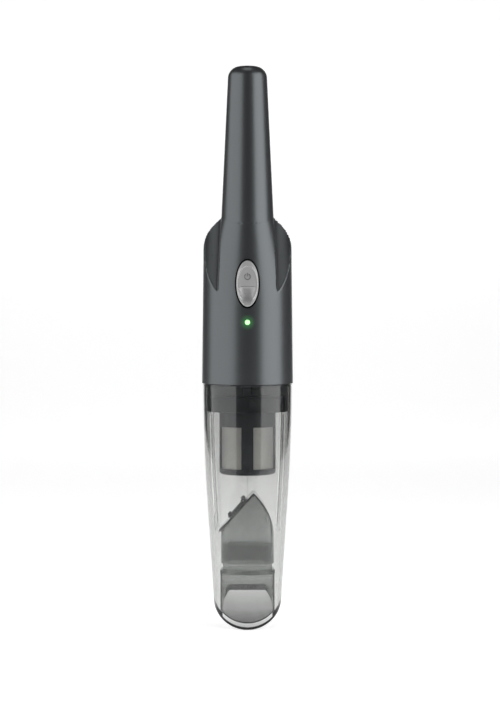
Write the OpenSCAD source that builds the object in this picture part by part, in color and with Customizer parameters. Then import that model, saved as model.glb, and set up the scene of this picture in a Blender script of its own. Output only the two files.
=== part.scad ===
// Cordless handheld vacuum with a clear dust container, standing on its nozzle tip.
// The button side faces -Y, +Z runs up to the handle's end, and +X is to the right of the button side.
// Heights below are measured from the nozzle tip; placed() moves the origin to the middle of the grip.

/* [Housing] */
// Height of the housing's lower edge above the nozzle tip
body_bottom = 194.8; // [194.6:0.1:195.2]
// Outer radius at the housing's lower edge
body_r = 36.4; // [36.2:0.1:36.6]
// Height where the shoulder starts to close in
shoulder_z = 301.2; // [300:0.1:303]
// Outer radius at the start of the shoulder
shoulder_r = 35.2; // [35:0.1:35.4]
// Radius of the shoulder's round
dome_r = 44; // [43:0.5:45]
// Wall thickness of the two housing shells
wall = 2.4; // [2.2:0.1:2.5]

/* [Handle] */
// Height where the handle leaves the body
handle_z = 331; // [330:0.5:332]
// How far the handle's axis lies in front of the body's axis there
handle_y = -8; // [-8.2:0.1:-7.8]
// Lean of the handle's axis towards the back, in degrees
handle_tilt = 2.2; // [2:0.1:2.4]
// Outer radius where the handle leaves the body
handle_r = 20.6; // [20.4:0.1:20.8]
// Outer radius at the handle's end
handle_end_r = 15.2; // [15:0.1:15.4]
// Length of the handle along its axis
handle_len = 115.9; // [115.5:0.1:116.5]
// Radius of the round at the handle's end
handle_round = 8.8; // [8.4:0.1:9.2]

/* [Side scoops] */
// Height at which the scoop's floor is scoop_y from the middle
scoop_z = 289.7; // [288:0.1:291]
// Position of the scoop's floor at that height
scoop_y = -10.5; // [-11:0.1:-10]
// How far the floor moves back for each millimetre up
scoop_slope = 0.75; // [0.72:0.01:0.78]

/* [Dust container] */
// Outer radius at the container's rim
cup_r = 35.5; // [35.4:0.05:35.6]
// Radius of the long curve below the rim
cup_arc = 1328; // [1200:1:1500]
// Height where that curve runs into the straight taper
cup_arc_z = 109; // [100:1:120]
// Radius lost for each millimetre down on the taper
cup_taper = 0.0642; // [0.062:0.0002:0.066]
// Wall thickness of the container
cup_wall = 2.4; // [2.2:0.1:2.5]
// Height of the slanted mouth plane on the body's axis
nose_z = 21.7; // [21.5:0.1:21.9]
// Rise of the mouth plane towards the back
nose_slope = 0.84; // [0.83:0.01:0.85]

/* [Power button] */
// Height of the button's middle
button_z = 274.4; // [273:0.1:275]
// Half width of the button's well
well_a = 9.9; // [9.8:0.1:10]
// Half height of the button's well
well_b = 19.6; // [19.5:0.1:19.8]
// How far the button travels
button_travel = 1.5; // [1:0.1:1.5]

/* [Release button] */
// Height of the release button's pivot
latch_z = 226.5; // [226.4:0.1:226.6]
// Distance of that pivot behind the body's axis
latch_y = 30; // [29.9:0.1:30.1]

/* [Filter] */
// Radius of the filter's cage
cage_r = 22.5; // [22.4:0.1:22.6]
// Height of the cage's lower end
cage_z = 122; // [121.5:0.1:122.5]
// Number of pleats in the paper
pleats = 28; // [20:1:36]

/* [Motor and fan] */
// Outer radius of the motor can
motor_r = 14; // [13.8:0.1:14.1]
// Outer radius of the fan
fan_r = 23.4; // [22.5:0.1:23.6]
// Number of fan blades
blades = 9; // [7:1:11]

/* [Hidden] */
$fn = 96;

grip_z = 381;           // height of the grip's middle, which becomes the origin
far = 60;               // more than any radius of the body
cup_top = body_bottom - 0.6;
handle_taper = (handle_r - handle_end_r) / handle_len;
fairing_z = 255;        // where the front fairing grows out of the body
fairing_h = handle_z - fairing_z;
fairing_tilt = atan(-handle_y / fairing_h);
fairing_len = norm([handle_y, fairing_h]);
fairing_taper = (body_r - 0.6 - handle_r) / fairing_len;
overlap = 10;           // how far the fairing runs on inside the handle
handle_low = -60;       // and the handle inside the fairing
side_top = handle_r + 0.3;  // half width between the scoops where the handle begins
side_low = 25;          // and at the foot of the fairing
end_wall_rise = cup_wall * sqrt(1 + nose_slope * nose_slope);

// Filter and its seat
flange_r = 32.4;
flange_z = 172.4;
flange_top = 184.6;
seat_z = 185.8;         // lower edge of the motor frame's skirt
skirt_wall = 1.6;
tube_r = 25.4;          // outer radius of the tube that the filter plugs into
collar_r = 23.6;
rib_count = 6;
rib_proud = 1.2;

// Inlet duct: outline in plan, and the slanted plane of its outlet in the XZ plane
duct_half = 20.6;
duct_back = 8.6;
duct_front = -20;
duct_round = 21.6;
duct_wall = 1.3;
throat_y = -5.7;        // middle and radius of the throat's rounded back
throat_round = 20.9;
throat_top = 43.6;
shelf_top = 46.8;
collar_z = 51.6;
spigot_top = 66.8;
hood_x = 4.7;           // the hood's apex
hood_z = 108.7;
slant = 1.121;
slant_a = atan(slant);
hood_arc = 49.4;
hood_arc_z = 72;
flap_x = -3.47;         // the flap's hinge
flap_z = 102.1;
flap_len = 18.6;
flap_y = [-17, 5.6];

// Board, switch and light
board_y = -24.2;
board_t = 1.6;
led_z = 244;
skirt_y = [-31.2, -27.2];  // the button's skirt runs between these
plunger_y = -29.6;      // where the button rests on the switch's plunger

// Fan and motor
fan_floor = 198.4;
fan_top = 221.4;
fan_case_r = 25.6;
motor_z = 222.4;
motor_top = 260;
shaft_r = 1;

// Battery, along the handle's axis
cell_r = 9.1;
cell_len = 65;
cell_low = -33;
cell_gap = 0.6;
cells_top = cell_low + 2 * cell_len + cell_gap;

screw_spots = [[-24.5, 231], [24.5, 231], [-24.5, 272], [24.5, 272]];
board_spots = [[9.5, 240], [-10.8, 289.6]];

module placed() translate([0, 0, -grip_z]) children();

// Local frame on the handle's axis, with z along the handle
module on_handle() translate([0, handle_y, handle_z]) rotate([-handle_tilt, 0, 0]) children();

// A point given in the handle's frame
function hp(x, y, h) = [x, handle_y + y * cos(handle_tilt) + h * sin(handle_tilt),
    handle_z - y * sin(handle_tilt) + h * cos(handle_tilt)];

// Turns a shape drawn in (y, z) or (x, z) into a prism across the body
module across_x(width) rotate([90, 0, 90]) linear_extrude(height = width, center = true) children();
module across_y(y0, y1) translate([0, y1, 0]) rotate([90, 0, 0]) linear_extrude(height = y1 - y0) children();

module ring(r_in, r_out, z0, z1)
    translate([0, 0, z0]) difference() {
        cylinder(r = r_out, h = z1 - z0);
        translate([0, 0, -1]) cylinder(r = r_in, h = z1 - z0 + 2);
    }

module rod_y(r, x, z, y0, y1) translate([x, y1, z]) rotate([90, 0, 0]) cylinder(r = r, h = y1 - y0);

// Ellipse with half axes a and b
module oval(a, b) polygon([for (k = [0:47]) [a * cos(7.5 * k), b * sin(7.5 * k)]]);

// Direction of travel at point k of a lead, no longer than the shorter stretch beside it
function heading(p, k) =
    let (before = p[max(k - 1, 0)], after = p[min(k + 1, len(p) - 1)],
        reach = min([for (j = [max(k - 1, 0):min(k, len(p) - 2)]) norm(p[j + 1] - p[j])]))
    (after - before) / norm(after - before) * reach;

// Insulated lead through a few points, rounded by sampling a cubic curve between them
function curve(p, k, t) =
    p[k] * (2 * t - 3) * t * t + p[k] + heading(p, k) * (t - 1) * (t - 1) * t
    + p[k + 1] * (3 - 2 * t) * t * t + heading(p, k + 1) * (t - 1) * t * t;

module lead(points, r = 0.8) {
    steps = 5;
    path = concat([for (k = [0:len(points) - 2], j = [0:steps - 1]) curve(points, k, j / steps)],
        [points[len(points) - 1]]);
    sweep(path, r, 8);
}

// Pan-head screw along -Y with its head's top face at y
module screw_y(x, z, y, head_r, shank_r, length) {
    slot = head_r * 0.25;
    difference() {
        rod_y(head_r, x, z, y - head_r * 0.7, y);
        for (a = [0, 90])
            translate([x, y, z]) rotate([0, a, 0])
                cube([head_r * 1.3, head_r * 0.7, slot], center = true);
    }
    rod_y(shank_r, x, z, y - length, y - head_r * 0.7);
}

// ---- Housing form, taken in by i on every side ----

module body_form(i) {
    low = i > 0 ? body_bottom - 5 : body_bottom;
    rotate(-60) rotate_extrude() {
        polygon([[0, low], [body_r - i, low], [shoulder_r - i, shoulder_z], [0, shoulder_z]]);
        intersection() {
            translate([shoulder_r - dome_r, shoulder_z]) circle(r = dome_r - i);
            translate([0, shoulder_z]) square(far);
        }
    }
}

function scoop_floor(z) = scoop_y + scoop_slope * (z - scoop_z);
function side_half(z) = side_top + (side_low - side_top) * (handle_z - z) / (handle_z - 240);

module behind_scoops(i) {
    back = i * sqrt(1 + scoop_slope * scoop_slope);
    across_x(2 * far)
        polygon([[scoop_floor(180) + back, 180], [far, 180], [far, 400], [scoop_floor(400) + back, 400]]);
}

module between_scoops(i, y0, y1)
    across_y(y0, y1)
        polygon([[-side_half(240) + i, 240], [side_half(240) - i, 240],
            [side_half(345) - i, 345], [-side_half(345) + i, 345]]);

module fairing_cone(i) translate([0, 0, fairing_z]) rotate([fairing_tilt, 0, 0]) rotate(90)
    cylinder(r1 = body_r - 0.6 - i, r2 = handle_r - overlap * fairing_taper - i, h = fairing_len + overlap);

module fairing_form(i) intersection() {
    fairing_cone(i);
    between_scoops(i, -far, 6);
}

module handle_form(i) on_handle() rotate(90) rotate_extrude() intersection() {
    union() {
        polygon([[0, handle_low], [handle_r - handle_low * handle_taper - i, handle_low],
            [handle_end_r + handle_round * handle_taper - i, handle_len - handle_round],
            [handle_end_r - handle_round, handle_len - handle_round],
            [handle_end_r - handle_round, handle_len - i], [0, handle_len - i]]);
        translate([handle_end_r - handle_round, handle_len - handle_round])
            circle(r = handle_round - i);
    }
    translate([0, -far]) square([far, 4 * far]);
}

module housing_form(i) {
    intersection() {
        body_form(i);
        union() {
            behind_scoops(i);
            between_scoops(i, 0, far);
        }
    }
    fairing_form(i);
    handle_form(i);
}

// The seam runs along the body's middle, then along the handle's axis
seam_bend = 339;        // height at which the seam turns onto the handle's axis
function seam_y(z) = handle_y + (z - handle_z) * tan(handle_tilt);

module front_side() across_x(2 * far)
    polygon([[0, 180], [0, fairing_z - 2], [seam_y(seam_bend), seam_bend], [seam_y(460), 460],
        [-far, 460], [-far, 180]]);

module front_half() difference() {
    intersection() {
        housing_form(0);
        front_side();
    }
    housing_form(wall);
}

module rear_half() difference() {
    housing_form(0);
    front_side();
    housing_form(wall);
}

// Bosses and other inner shapes, ended inside the wall
module within_wall(i) intersection() {
    children();
    housing_form(i);
}

module front_cover() color("#5a5f62") difference() {
    union() {
        front_half();
        within_wall(wall / 2) {
            across_y(-far, -27.5) translate([0, button_z]) oval(well_a + 1.4, well_b + 1.4);
            for (s = screw_spots) rod_y(3.6, s[0], s[1], -far, -0.2);
            for (s = board_spots) rod_y(2.4, s[0], s[1], -far, board_y - 0.1);
        }
    }
    across_y(-far, -20) translate([0, button_z]) oval(well_a, well_b);
    for (s = screw_spots) rod_y(1.25, s[0], s[1], -14, 5);
    for (s = board_spots) rod_y(0.9, s[0], s[1], board_y - 5, board_y + 2);
    rod_y(2.1, 0, led_z, -far, -20);
    on_handle() translate([0, 0, cells_top]) cylinder(r = 4, h = 30);
}

module rear_cover() color("#54595c") difference() {
    union() {
        rear_half();
        within_wall(wall / 2) {
            for (s = screw_spots) rod_y(4.4, s[0], s[1], 0.2, far);
            for (s = [-1, 1])
                translate([s * 6.6 - 1, latch_y - 2.4, latch_z - 2.6]) cube([2, 20, 5.2]);
        }
    }
    for (s = screw_spots) {
        rod_y(1.7, s[0], s[1], -1, far);
        rod_y(3.1, s[0], s[1], 13, far);
    }
    translate([-8.4, latch_y + 1, 206]) cube([16.8, far, 17.6]);
    translate([0, latch_y, latch_z]) rotate([0, 90, 0]) cylinder(r = 1.2, h = 20, center = true);
    for (k = [0:7]) {
        half = 13 - pow(k - 3.5, 2) * 0.45;
        translate([-half, 20, 265 + 4.7 * k]) cube([2 * half, far, 2.2]);
    }
    on_handle() translate([0, 0, cells_top]) cylinder(r = 4, h = 30);
}

module cover_screws() color("#8d9092") for (s = screw_spots) screw_y(s[0], s[1], 15, 2.8, 1.25, 27);

module led_lens() color("#8dff9a") {
    within_wall(0.1) rod_y(2, 0, led_z, -far, -30);
    rod_y(3.2, 0, led_z, -30.8, -30);
}

// ---- Motor frame, fan and motor ----

module motor_frame() color("#3c4043") difference() {
    union() {
        translate([0, 0, 196]) cylinder(r = 33.8, h = 2.4);
        ring(flange_r - skirt_wall, flange_r, seat_z, 196.1);
        ring(tube_r - skirt_wall, tube_r, seat_z, 196.1);
        translate([-3, -34.1, 186.5]) cube([6, 3, 5]);
    }
    for (r = [7:4.2:20]) difference() {
        ring(r, r + 3, 195, 199);
        for (a = [0:60:120]) rotate(a) translate([-far, -0.9, 190]) cube([2 * far, 1.8, 20]);
    }
    translate([0, 0, 195]) cylinder(r = 5.6, h = 5);
    translate([-5.2, tube_r + 0.5, 195]) cube([10.4, 5.3, 5]);
    translate([-5.2, 29, 185]) cube([10.4, 6, 6.2]);
    ring(31.8, 33, 192, 194.7);
}

module frame_seal() color("#1d1f20") ring(31.85, 32.85, 192.1, 194.6);

module fan_housing() color("#2e3133") difference() {
    ring(0, fan_case_r, fan_floor, fan_top);
    translate([0, 0, fan_floor + 1.4]) cylinder(r = fan_case_r - 1.5, h = fan_top - fan_floor - 2.9);
    translate([0, 0, fan_floor - 1]) cylinder(r = 12, h = 5);
    translate([0, 0, fan_top - 3]) cylinder(r = 3.2, h = 5);
    for (a = [0:30:330]) rotate(a) translate([16, -2, fan_top - 3]) cube([8, 4, 5]);
    for (a = [15, 195]) rotate(a) translate([8, 0, fan_top - 3]) cylinder(r = 1.35, h = 5);
}

module impeller() color("#d8d8d4") {
    ring(shaft_r, 4, 201.4, 216.7);
    ring(3.9, fan_r, 216.6, 217.8);
    for (k = [0:blades - 1]) rotate(k * 360 / blades)
        translate([0, 0, 201.4]) linear_extrude(height = 15.3) intersection() {
            difference() {
                translate([14, 10]) circle(r = 16);
                translate([14, 10]) circle(r = 15);
            }
            difference() { circle(r = fan_r - 0.2); circle(r = 9); }
            translate([0, -far]) square([far, far]);
        }
}

module motor_can() color("#b9bcbf") difference() {
    translate([0, 0, motor_z]) cylinder(r = motor_r, h = motor_top - motor_z);
    translate([0, 0, motor_z + 1.2]) cylinder(r = motor_r - 1, h = far);
    translate([0, 0, motor_z - 1]) cylinder(r = 3, h = 5);
    for (a = [15, 195]) rotate(a) translate([8, 0, motor_z - 1]) cylinder(r = 1.1, h = 5);
}

module motor_magnets() color("#3a3a3c") for (a = [25, 205]) rotate(a)
    rotate_extrude(angle = 130) translate([11.2, 226]) square([1.75, 28]);

module motor_bushes() color("#b08d4f") {
    ring(shaft_r + 0.03, 3, motor_z - 0.6, motor_z + 3);
    ring(shaft_r + 0.03, 3, 262, 266);
}

module motor_brushes() color("#2b2b2b") for (s = [-1, 1])
    translate([s * 6.6 - 2.4, -1.5, 256.6]) cube([4.8, 3, 3.5]);

module motor_end_cap() color("#e6e3da") difference() {
    union() {
        translate([0, 0, motor_top + 0.1]) cylinder(r = motor_r, h = 5);
        translate([0, 0, motor_top + 5]) cylinder(r = 5.5, h = 2);
    }
    translate([0, 0, motor_top - 1]) cylinder(r = 3, h = 20);
    for (s = [-1, 1]) translate([s * 9 - 1.6, -0.4, motor_top - 1]) cube([3.2, 0.8, 10]);
}

module motor_terminals() color("#caa64a") for (s = [-1, 1])
    translate([s * 9 - 1.5, -0.35, motor_top + 0.2]) cube([3, 0.7, 10]);

module motor_screws() color("#9a9da0") for (a = [15, 195]) rotate(a) translate([8, 0, 0]) {
    translate([0, 0, fan_top - 3]) cylinder(r = 2.2, h = 1.5);
    translate([0, 0, fan_top - 2]) cylinder(r = 1.1, h = 5);
}

module motor_damper() color("#222426") ring(motor_r + 0.05, motor_r + 2.2, 246, 256);

module motor_cradle() color("#33373a") difference() {
    union() {
        ring(motor_r + 2.25, motor_r + 4.3, 244, 258);
        for (a = [0, 90, 180]) rotate(a) translate([motor_r + 4, -1.5, 244]) cube([15, 3, 14]);
    }
    ring(33.2, far, 240, 262);
}

module motor_shaft() color("#c9ccd0") translate([0, 0, 201.4]) cylinder(r = shaft_r, h = 67);

module armature_core() color("#8b8f92") translate([0, 0, 228]) linear_extrude(height = 24) difference() {
    circle(r = 10.7);
    circle(r = shaft_r);
    for (a = [60, 180, 300]) rotate(a) {
        translate([6.4, 0]) circle(r = 3.4);
        translate([8, -0.7]) square([5, 1.4]);
    }
}

module armature_windings() color("#b5652b") for (a = [60, 180, 300]) rotate(a)
    translate([6.4, 0, 225.6]) cylinder(r = 3.2, h = 28.8);

module commutator() color("#b87333") difference() {
    ring(shaft_r, 4, 254.9, 259.9);
    for (a = [0, 120, 240]) rotate(a) translate([2.6, -0.2, 250]) cube([4, 0.4, 20]);
}

// ---- Board, switch, light and wiring ----

module circuit_board() color("#1f5a3a") difference() {
    translate([-13, board_y, 234]) cube([26, board_t, 58]);
    for (s = board_spots) rod_y(1.2, s[0], s[1], board_y - 1, board_y + 3);
}

module board_components() color("#26282a") {
    translate([-9, board_y + board_t, 250]) cube([5, 1.2, 6]);
    translate([2, board_y + board_t, 249]) cube([7, 1, 7]);
    translate([5, board_y + board_t, 272]) rotate([-90, 0, 0]) cylinder(r = 3, h = 5);
    translate([-9, board_y + board_t, 266]) cube([8, 4, 5]);
    translate([-8, board_y + board_t, 235.5]) cube([12, 4, 5]);
}

module board_screws() color("#9a9da0") for (s = board_spots)
    screw_y(s[0], s[1], board_y + board_t + 1.5, 1.9, 0.9, 7);

module push_switch() color("#3b3e41") difference() {
    translate([-3.1, board_y - 3.8, button_z - 3.1]) cube([6.2, 3.8, 6.2]);
    rod_y(1.85, 0, button_z, board_y - 5, board_y - 0.6);
}

module status_led() color("#d9ffdc") {
    rod_y(1.5, 0, led_z, board_y - 3.4, board_y);
    translate([0, board_y - 3.4, led_z]) sphere(r = 1.5);
}

module switch_plunger() color("#111213") rod_y(1.75, 0, button_z, plunger_y, board_y - 2.2);

module battery_cells() color("#3f6fae") on_handle() for (k = [0, 1])
    translate([0, 0, cell_low + k * (cell_len + cell_gap)]) {
        cylinder(r = cell_r, h = cell_len - 1.4);
        cylinder(r = 4, h = cell_len);
    }

module battery_cradle() color("#2c2f31") on_handle() difference() {
    union() {
        ring(cell_r + 0.2, cell_r + 1.6, cell_low - 1, cells_top);
        for (h = [cell_low + 8, cell_low + 60, cells_top - 16]) ring(cell_r + 1.5, cell_r + 3, h, h + 2);
    }
    translate([-far, -2 * far - 2, -far]) cube([2 * far, 2 * far, 4 * far]);
}

// Each tab's height on the axis and its thickness
tabs = [[cell_low - 0.4, 0.35], [cell_low + cell_len + 0.05, cell_gap - 0.1], [cells_top + 0.05, 0.35]];

module battery_tabs() color("#c4c6c8") on_handle()
    for (tab = tabs) translate([-3, -3, tab[0]]) cube([6, 6, tab[1]]);

module battery_leads() color("#b3261e") {
    lead([hp(-2, -2, cells_top + 1.5), hp(-6.6, -6.8, cells_top + 1.7), hp(-7.9, -8.4, cells_top - 3),
        hp(-7.9, -8.4, 0), hp(-9, -9, -34),
        [-8, board_y + 5, 282], [-7, board_y + 3.6, 271.1]]);
    lead([hp(2, -2, cell_low - 1.3), hp(4, -5, -37), [-3, board_y + 5, 284], [-3, board_y + 3.6, 271.1]]);
}

module charge_leads() color("#202224") for (x = [5.2, 7.4])
    lead([hp(x - 2.5, -1, cells_top + 2.8), hp(x, -8.6, cells_top + 2), hp(x, -10, cells_top - 4),
        hp(x + 0.4, -9.6, 0), hp(x + 2, -9, -34),
        [x + 3.4, board_y + 4, 284], [x + 3.4, board_y + 2.5, 262]], 0.6);

module motor_leads() color("#d0d0cc") for (s = [-1, 1])
    lead([[s * 9, -1.1, 269], [s * 10, -9, 271], [s * 7 - 1, -19.2, 264], [s * 4 - 2, -20.4, 254],
        [s * 4 - 2, -20.4, 246], [s * 4 - 2, -20.4, 240.6]], 0.7);

module charge_socket() color("#151617") on_handle() difference() {
    union() {
        translate([0, 0, cells_top + 4]) cylinder(r = 5.6, h = handle_len - wall - 0.4 - cells_top - 4);
        translate([0, 0, cells_top + 4]) cylinder(r = 3.9, h = handle_len - 0.4 - cells_top - 4);
    }
    translate([0, 0, cells_top + 7.4]) cylinder(r = 2.85, h = 20);
}

module charge_pin() color("#d5d6d2") on_handle()
    translate([0, 0, cells_top + 7.4]) cylinder(r = 1, h = 8);

module exhaust_filter() color("#2a2a2a") rotate(55)
    rotate_extrude(angle = 70) translate([29.6, 262]) square([2.8, 41]);

// ---- Power button ----

module button_cap() color("#b9bcbf") {
    difference() {
        union() {
            on_cap(-0.4) oval(well_a - 1.1, well_b - 1.5);
            on_cap(-1) difference() {
                oval(8.5, 14.6);
                oval(7.4, 13.4);
            }
            on_cap(-0.7) translate([0, 5.4]) power_icon();
        }
        translate([0, -44.3, button_z - 6.4]) intersection() {
            sphere(r = 13);
            translate([-7, 0, -6.4]) cube([14, 20, 10.6]);
        }
    }
    across_y(skirt_y[0], skirt_y[1]) translate([0, button_z]) difference() {
        oval(8.6, 17.8);
        oval(7.4, 16.4);
    }
    across_y(skirt_y[1] - 0.1, skirt_y[1] + 0.8) translate([0, button_z]) difference() {
        oval(10.6, 20.4);
        oval(7.4, 16.4);
    }
    rod_y(2.2, 0, button_z, skirt_y[0], plunger_y);
}

// A flat shape stood on the button's face, which follows the fairing with i below its surface
module on_cap(i) intersection() {
    across_y(-far, -31) translate([0, button_z]) children();
    fairing_cone(i);
}

// Generic on and off mark: an open ring with a bar
module power_icon() {
    difference() {
        circle(r = 2.6);
        circle(r = 1.9);
        translate([-1, 0]) square([2, 4]);
    }
    translate([-0.35, 0.4]) square([0.7, 3]);
}

// ---- Release button: a lever whose hook holds the container ----

module release_button() color("#6f7477") difference() {
    union() {
        intersection() {
            translate([-8, latch_y + 1.4, 207]) cube([16, 20, 16]);
            body_form(0.15);
        }
        translate([-4.5, latch_y - 1.4, 186.4]) cube([9, 1.8, 37.5]);
        translate([-4.5, latch_y, 208]) cube([9, 2, 14]);
        across_x(9) polygon([[latch_y, 187], [32.6, 187], [34.3, 189], [34.3, 190.4], [latch_y, 190.4]]);
        for (s = [-1, 1]) translate([s * 3.8 - 1.4, latch_y, latch_z]) rotate([0, 90, 0])
            cylinder(r = 2.7, h = 2.8);
    }
    translate([0, latch_y, latch_z]) rotate([0, 90, 0]) cylinder(r = 1.26, h = 20, center = true);
    for (z = [210, 213, 216, 219]) translate([-5.5, 35.2, z]) cube([11, 5, 1]);
}

module latch_pin() color("#c9ccd0") translate([0, latch_y, latch_z]) rotate([0, 90, 0])
    cylinder(r = 1.2, h = 15.2, center = true);

// Torsion spring: a coil round the pin, swept as one tube with its two legs
coil_r = 1.9;
coil_wire = 0.28;
coil_turns = 5;
coil_steps = 14;
coil_pitch = 0.66;
function coil_point(t) =
    [coil_pitch * (t - coil_turns / 2), latch_y + coil_r * cos(360 * t), latch_z + coil_r * sin(360 * t)];
coil_path = concat([[-coil_pitch * coil_turns / 2, latch_y + coil_r, latch_z - 3.2]],
    [for (k = [0:coil_turns * coil_steps]) coil_point(k / coil_steps)],
    [[coil_pitch * coil_turns / 2, latch_y + coil_r + 1.3, latch_z + 7]]);

module sweep(path, r, sides = 6) {
    n = len(path);
    function along(i) = let (d = path[min(i + 1, n - 1)] - path[max(i - 1, 0)]) d / norm(d);
    function side_of(t) = let (c = cross(t, [1, 0, 0])) c / norm(c);
    points = [for (i = [0:n - 1]) let (t = along(i), u = side_of(t), v = cross(t, u))
        for (k = [0:sides - 1]) path[i] + r * (u * cos(360 * k / sides) + v * sin(360 * k / sides))];
    walls = [for (i = [0:n - 2], k = [0:sides - 1]) let (a = i * sides, b = a + sides, m = (k + 1) % sides)
        [a + k, b + k, b + m, a + m]];
    polyhedron(points, concat([[for (k = [0:sides - 1]) k]], walls,
        [[for (k = [sides - 1:-1:0]) (n - 1) * sides + k]]));
}

module latch_spring() color("#c9ccd0") sweep(coil_path, coil_wire);

// ---- Dust container ----

function cup_radius(z) = z > cup_arc_z
    ? cup_r - pow(cup_top - z, 2) / (2 * cup_arc)
    : cup_radius(cup_arc_z + 0.001) - (cup_arc_z - z) * cup_taper;

cup_levels = [-12, 8, 28, 48, 69, 90, 109, 130, 150, 170, cup_top];

module cup_form(i, lift = 0) rotate(75) rotate_extrude()
    polygon(concat([[0, cup_levels[0]]], [for (z = cup_levels) [cup_radius(z) - i, z]],
        [[cup_r - i, cup_top + lift + 0.01], [0, cup_top + lift + 0.01]]));

module above_mouth_plane(rise) across_x(2 * far)
    polygon([[-far, nose_z - far * nose_slope + rise], [far, nose_z + far * nose_slope + rise],
        [far, 300], [-far, 300]]);

// Outline of the mouth and throat, with a flat back and sides that run into the front wall
module throat_plan(i) intersection() {
    translate([-duct_half + i, -far]) square([2 * (duct_half - i), far + duct_back - i]);
    union() {
        translate([0, throat_y]) circle(r = throat_round - i);
        translate([-far, -far]) square([2 * far, far + throat_y]);
    }
}

// Outline of the duct, flat at the front and the back
module duct_plan(i) intersection() {
    translate([-duct_half + i, duct_front + i]) square([2 * (duct_half - i), duct_back - duct_front - 2 * i]);
    for (c = [-7.3, -4.1]) intersection_for(k = [-7.3, -4.1]) translate([0, k]) circle(r = duct_round - i);
}

module container_shell() color("#8f9490", 0.4) difference() {
    union() {
        difference() {
            intersection() {
                cup_form(0);
                above_mouth_plane(0);
            }
            intersection() {
                cup_form(cup_wall, 1);
                above_mouth_plane(end_wall_rise);
            }
        }
        for (k = [0:rib_count - 1]) rotate(k * 360 / rib_count) intersection() {
            translate([-0.5, -far, 78]) cube([1, far, 93]);
            difference() {
                cup_form(cup_wall - 0.4);
                cup_form(cup_wall + rib_proud, 1);
            }
        }
    }
    intersection() {
        translate([0, 0, -12]) linear_extrude(height = throat_top + 11) throat_plan(1.6);
        cup_form(cup_wall);
    }
    translate([-5.4, 30, 186.4]) cube([10.8, 4.5, 4.6]);
    translate([-3.4, -34.5, 186]) cube([6.8, 3, 20]);
}

module nozzle_throat() color("#8f9490", 0.4) {
    intersection() {
        translate([0, 0, -12]) linear_extrude(height = throat_top + 12.1) difference() {
            throat_plan(0);
            throat_plan(1.6);
        }
        cup_form(cup_wall + 0.05);
        above_mouth_plane(end_wall_rise + 0.05);
    }
    intersection() {
        translate([0, 0, throat_top]) linear_extrude(height = shelf_top - throat_top) difference() {
            throat_plan(-0.3);
            duct_plan(2.75);
        }
        cup_form(cup_wall + 0.05);
    }
    translate([0, 0, shelf_top - 0.1]) linear_extrude(height = spigot_top - shelf_top) difference() {
        duct_plan(1.35);
        duct_plan(2.75);
    }
}

// Everything below the slanted outlet plane, inside the hood's curved side
module hood_side(i) across_y(-far, far) intersection() {
    polygon([[-far, 0], [-far, hood_z + slant * (-far - hood_x)],
        [far, hood_z + slant * (far - hood_x)], [far, 0]]);
    union() {
        translate([duct_half - hood_arc, hood_arc_z]) circle(r = hood_arc - i, $fn = 256);
        translate([-far, 0]) square([far + duct_half - i, hood_arc_z]);
    }
}

module under_slant(depth) across_y(-far, far)
    polygon([[-far, 0], [-far, hood_z + slant * (-far - hood_x) - depth],
        [far, hood_z + slant * (far - hood_x) - depth], [far, 0]]);

module inlet_duct() color("#858a87", 0.45) {
    rim_depth = 1.6 * sqrt(1 + slant * slant);
    difference() {
        intersection() {
            translate([0, 0, collar_z]) linear_extrude(height = far + 20) duct_plan(0);
            hood_side(0);
        }
        intersection() {
            translate([0, 0, collar_z - 1]) linear_extrude(height = far + 20) duct_plan(duct_wall - 0.05);
            hood_side(duct_wall);
            under_slant(rim_depth);
        }
        flap_window();
    }
    difference() {
        intersection() {
            translate([0, 0, 70]) linear_extrude(height = far) duct_plan(-1.9);
            hood_side(0);
        }
        under_slant(rim_depth);
        translate([0, 0, 60]) linear_extrude(height = far + 20) duct_plan(0.3);
    }
    for (y = [[flap_y[0] - 2, flap_y[0] - 0.3], [flap_y[1] + 0.3, flap_y[1] + 2]]) difference() {
        on_flap() translate([-1.8, y[0], -3.2]) cube([3.6, y[1] - y[0], 4.9]);
        on_flap() translate([0, y[0] - 1, 0]) rotate([-90, 0, 0]) cylinder(r = 0.7, h = 5);
    }
}

module flap_window() translate([0, 0, 60]) linear_extrude(height = far) intersection() {
    translate([-13.4, flap_y[0] + 1.4]) square([8.4, flap_y[1] - flap_y[0] - 2.8]);
    translate([-6, (flap_y[0] + flap_y[1]) / 2]) circle(r = 12.5);
}

// Frame on the flap's hinge: -x runs down the slant, z stands off it
module on_flap() translate([flap_x, 0, flap_z]) rotate([0, -slant_a, 0]) children();

module flap_pin() color("#c9ccd0") on_flap()
    translate([0, flap_y[0] - 1.9, 0]) rotate([-90, 0, 0]) cylinder(r = 0.7, h = flap_y[1] - flap_y[0] + 3.8);

module flap_valve() color("#232526") on_flap() {
    mid = (flap_y[0] + flap_y[1]) / 2;
    half = (flap_y[1] - flap_y[0]) / 2;
    difference() {
        union() {
            translate([0, flap_y[0], 0]) rotate([-90, 0, 0]) cylinder(r = 1.45, h = 2 * half);
            translate([-flap_len, flap_y[0], -1.4]) cube([flap_len - 4, 2 * half, 1.5]);
            translate([-5, flap_y[0], -1.4]) cube([5, 2 * half, 1.5]);
            translate([-flap_len + 1.6, flap_y[0] + 4, -1.4]) cube([2.6, 2 * half - 8, 3.4]);
        }
        translate([0, flap_y[0] - 1, 0]) rotate([-90, 0, 0]) cylinder(r = 0.76, h = 2 * half + 2);
        translate([-flap_len - 1, mid, -far / 2]) difference() {
            translate([-1, -half - 1, 0]) cube([6, 2 * half + 2, far]);
            translate([half, 0, -1]) cylinder(r = half + 0.6, h = far + 2);
        }
    }
}

// ---- Filter ----

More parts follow.
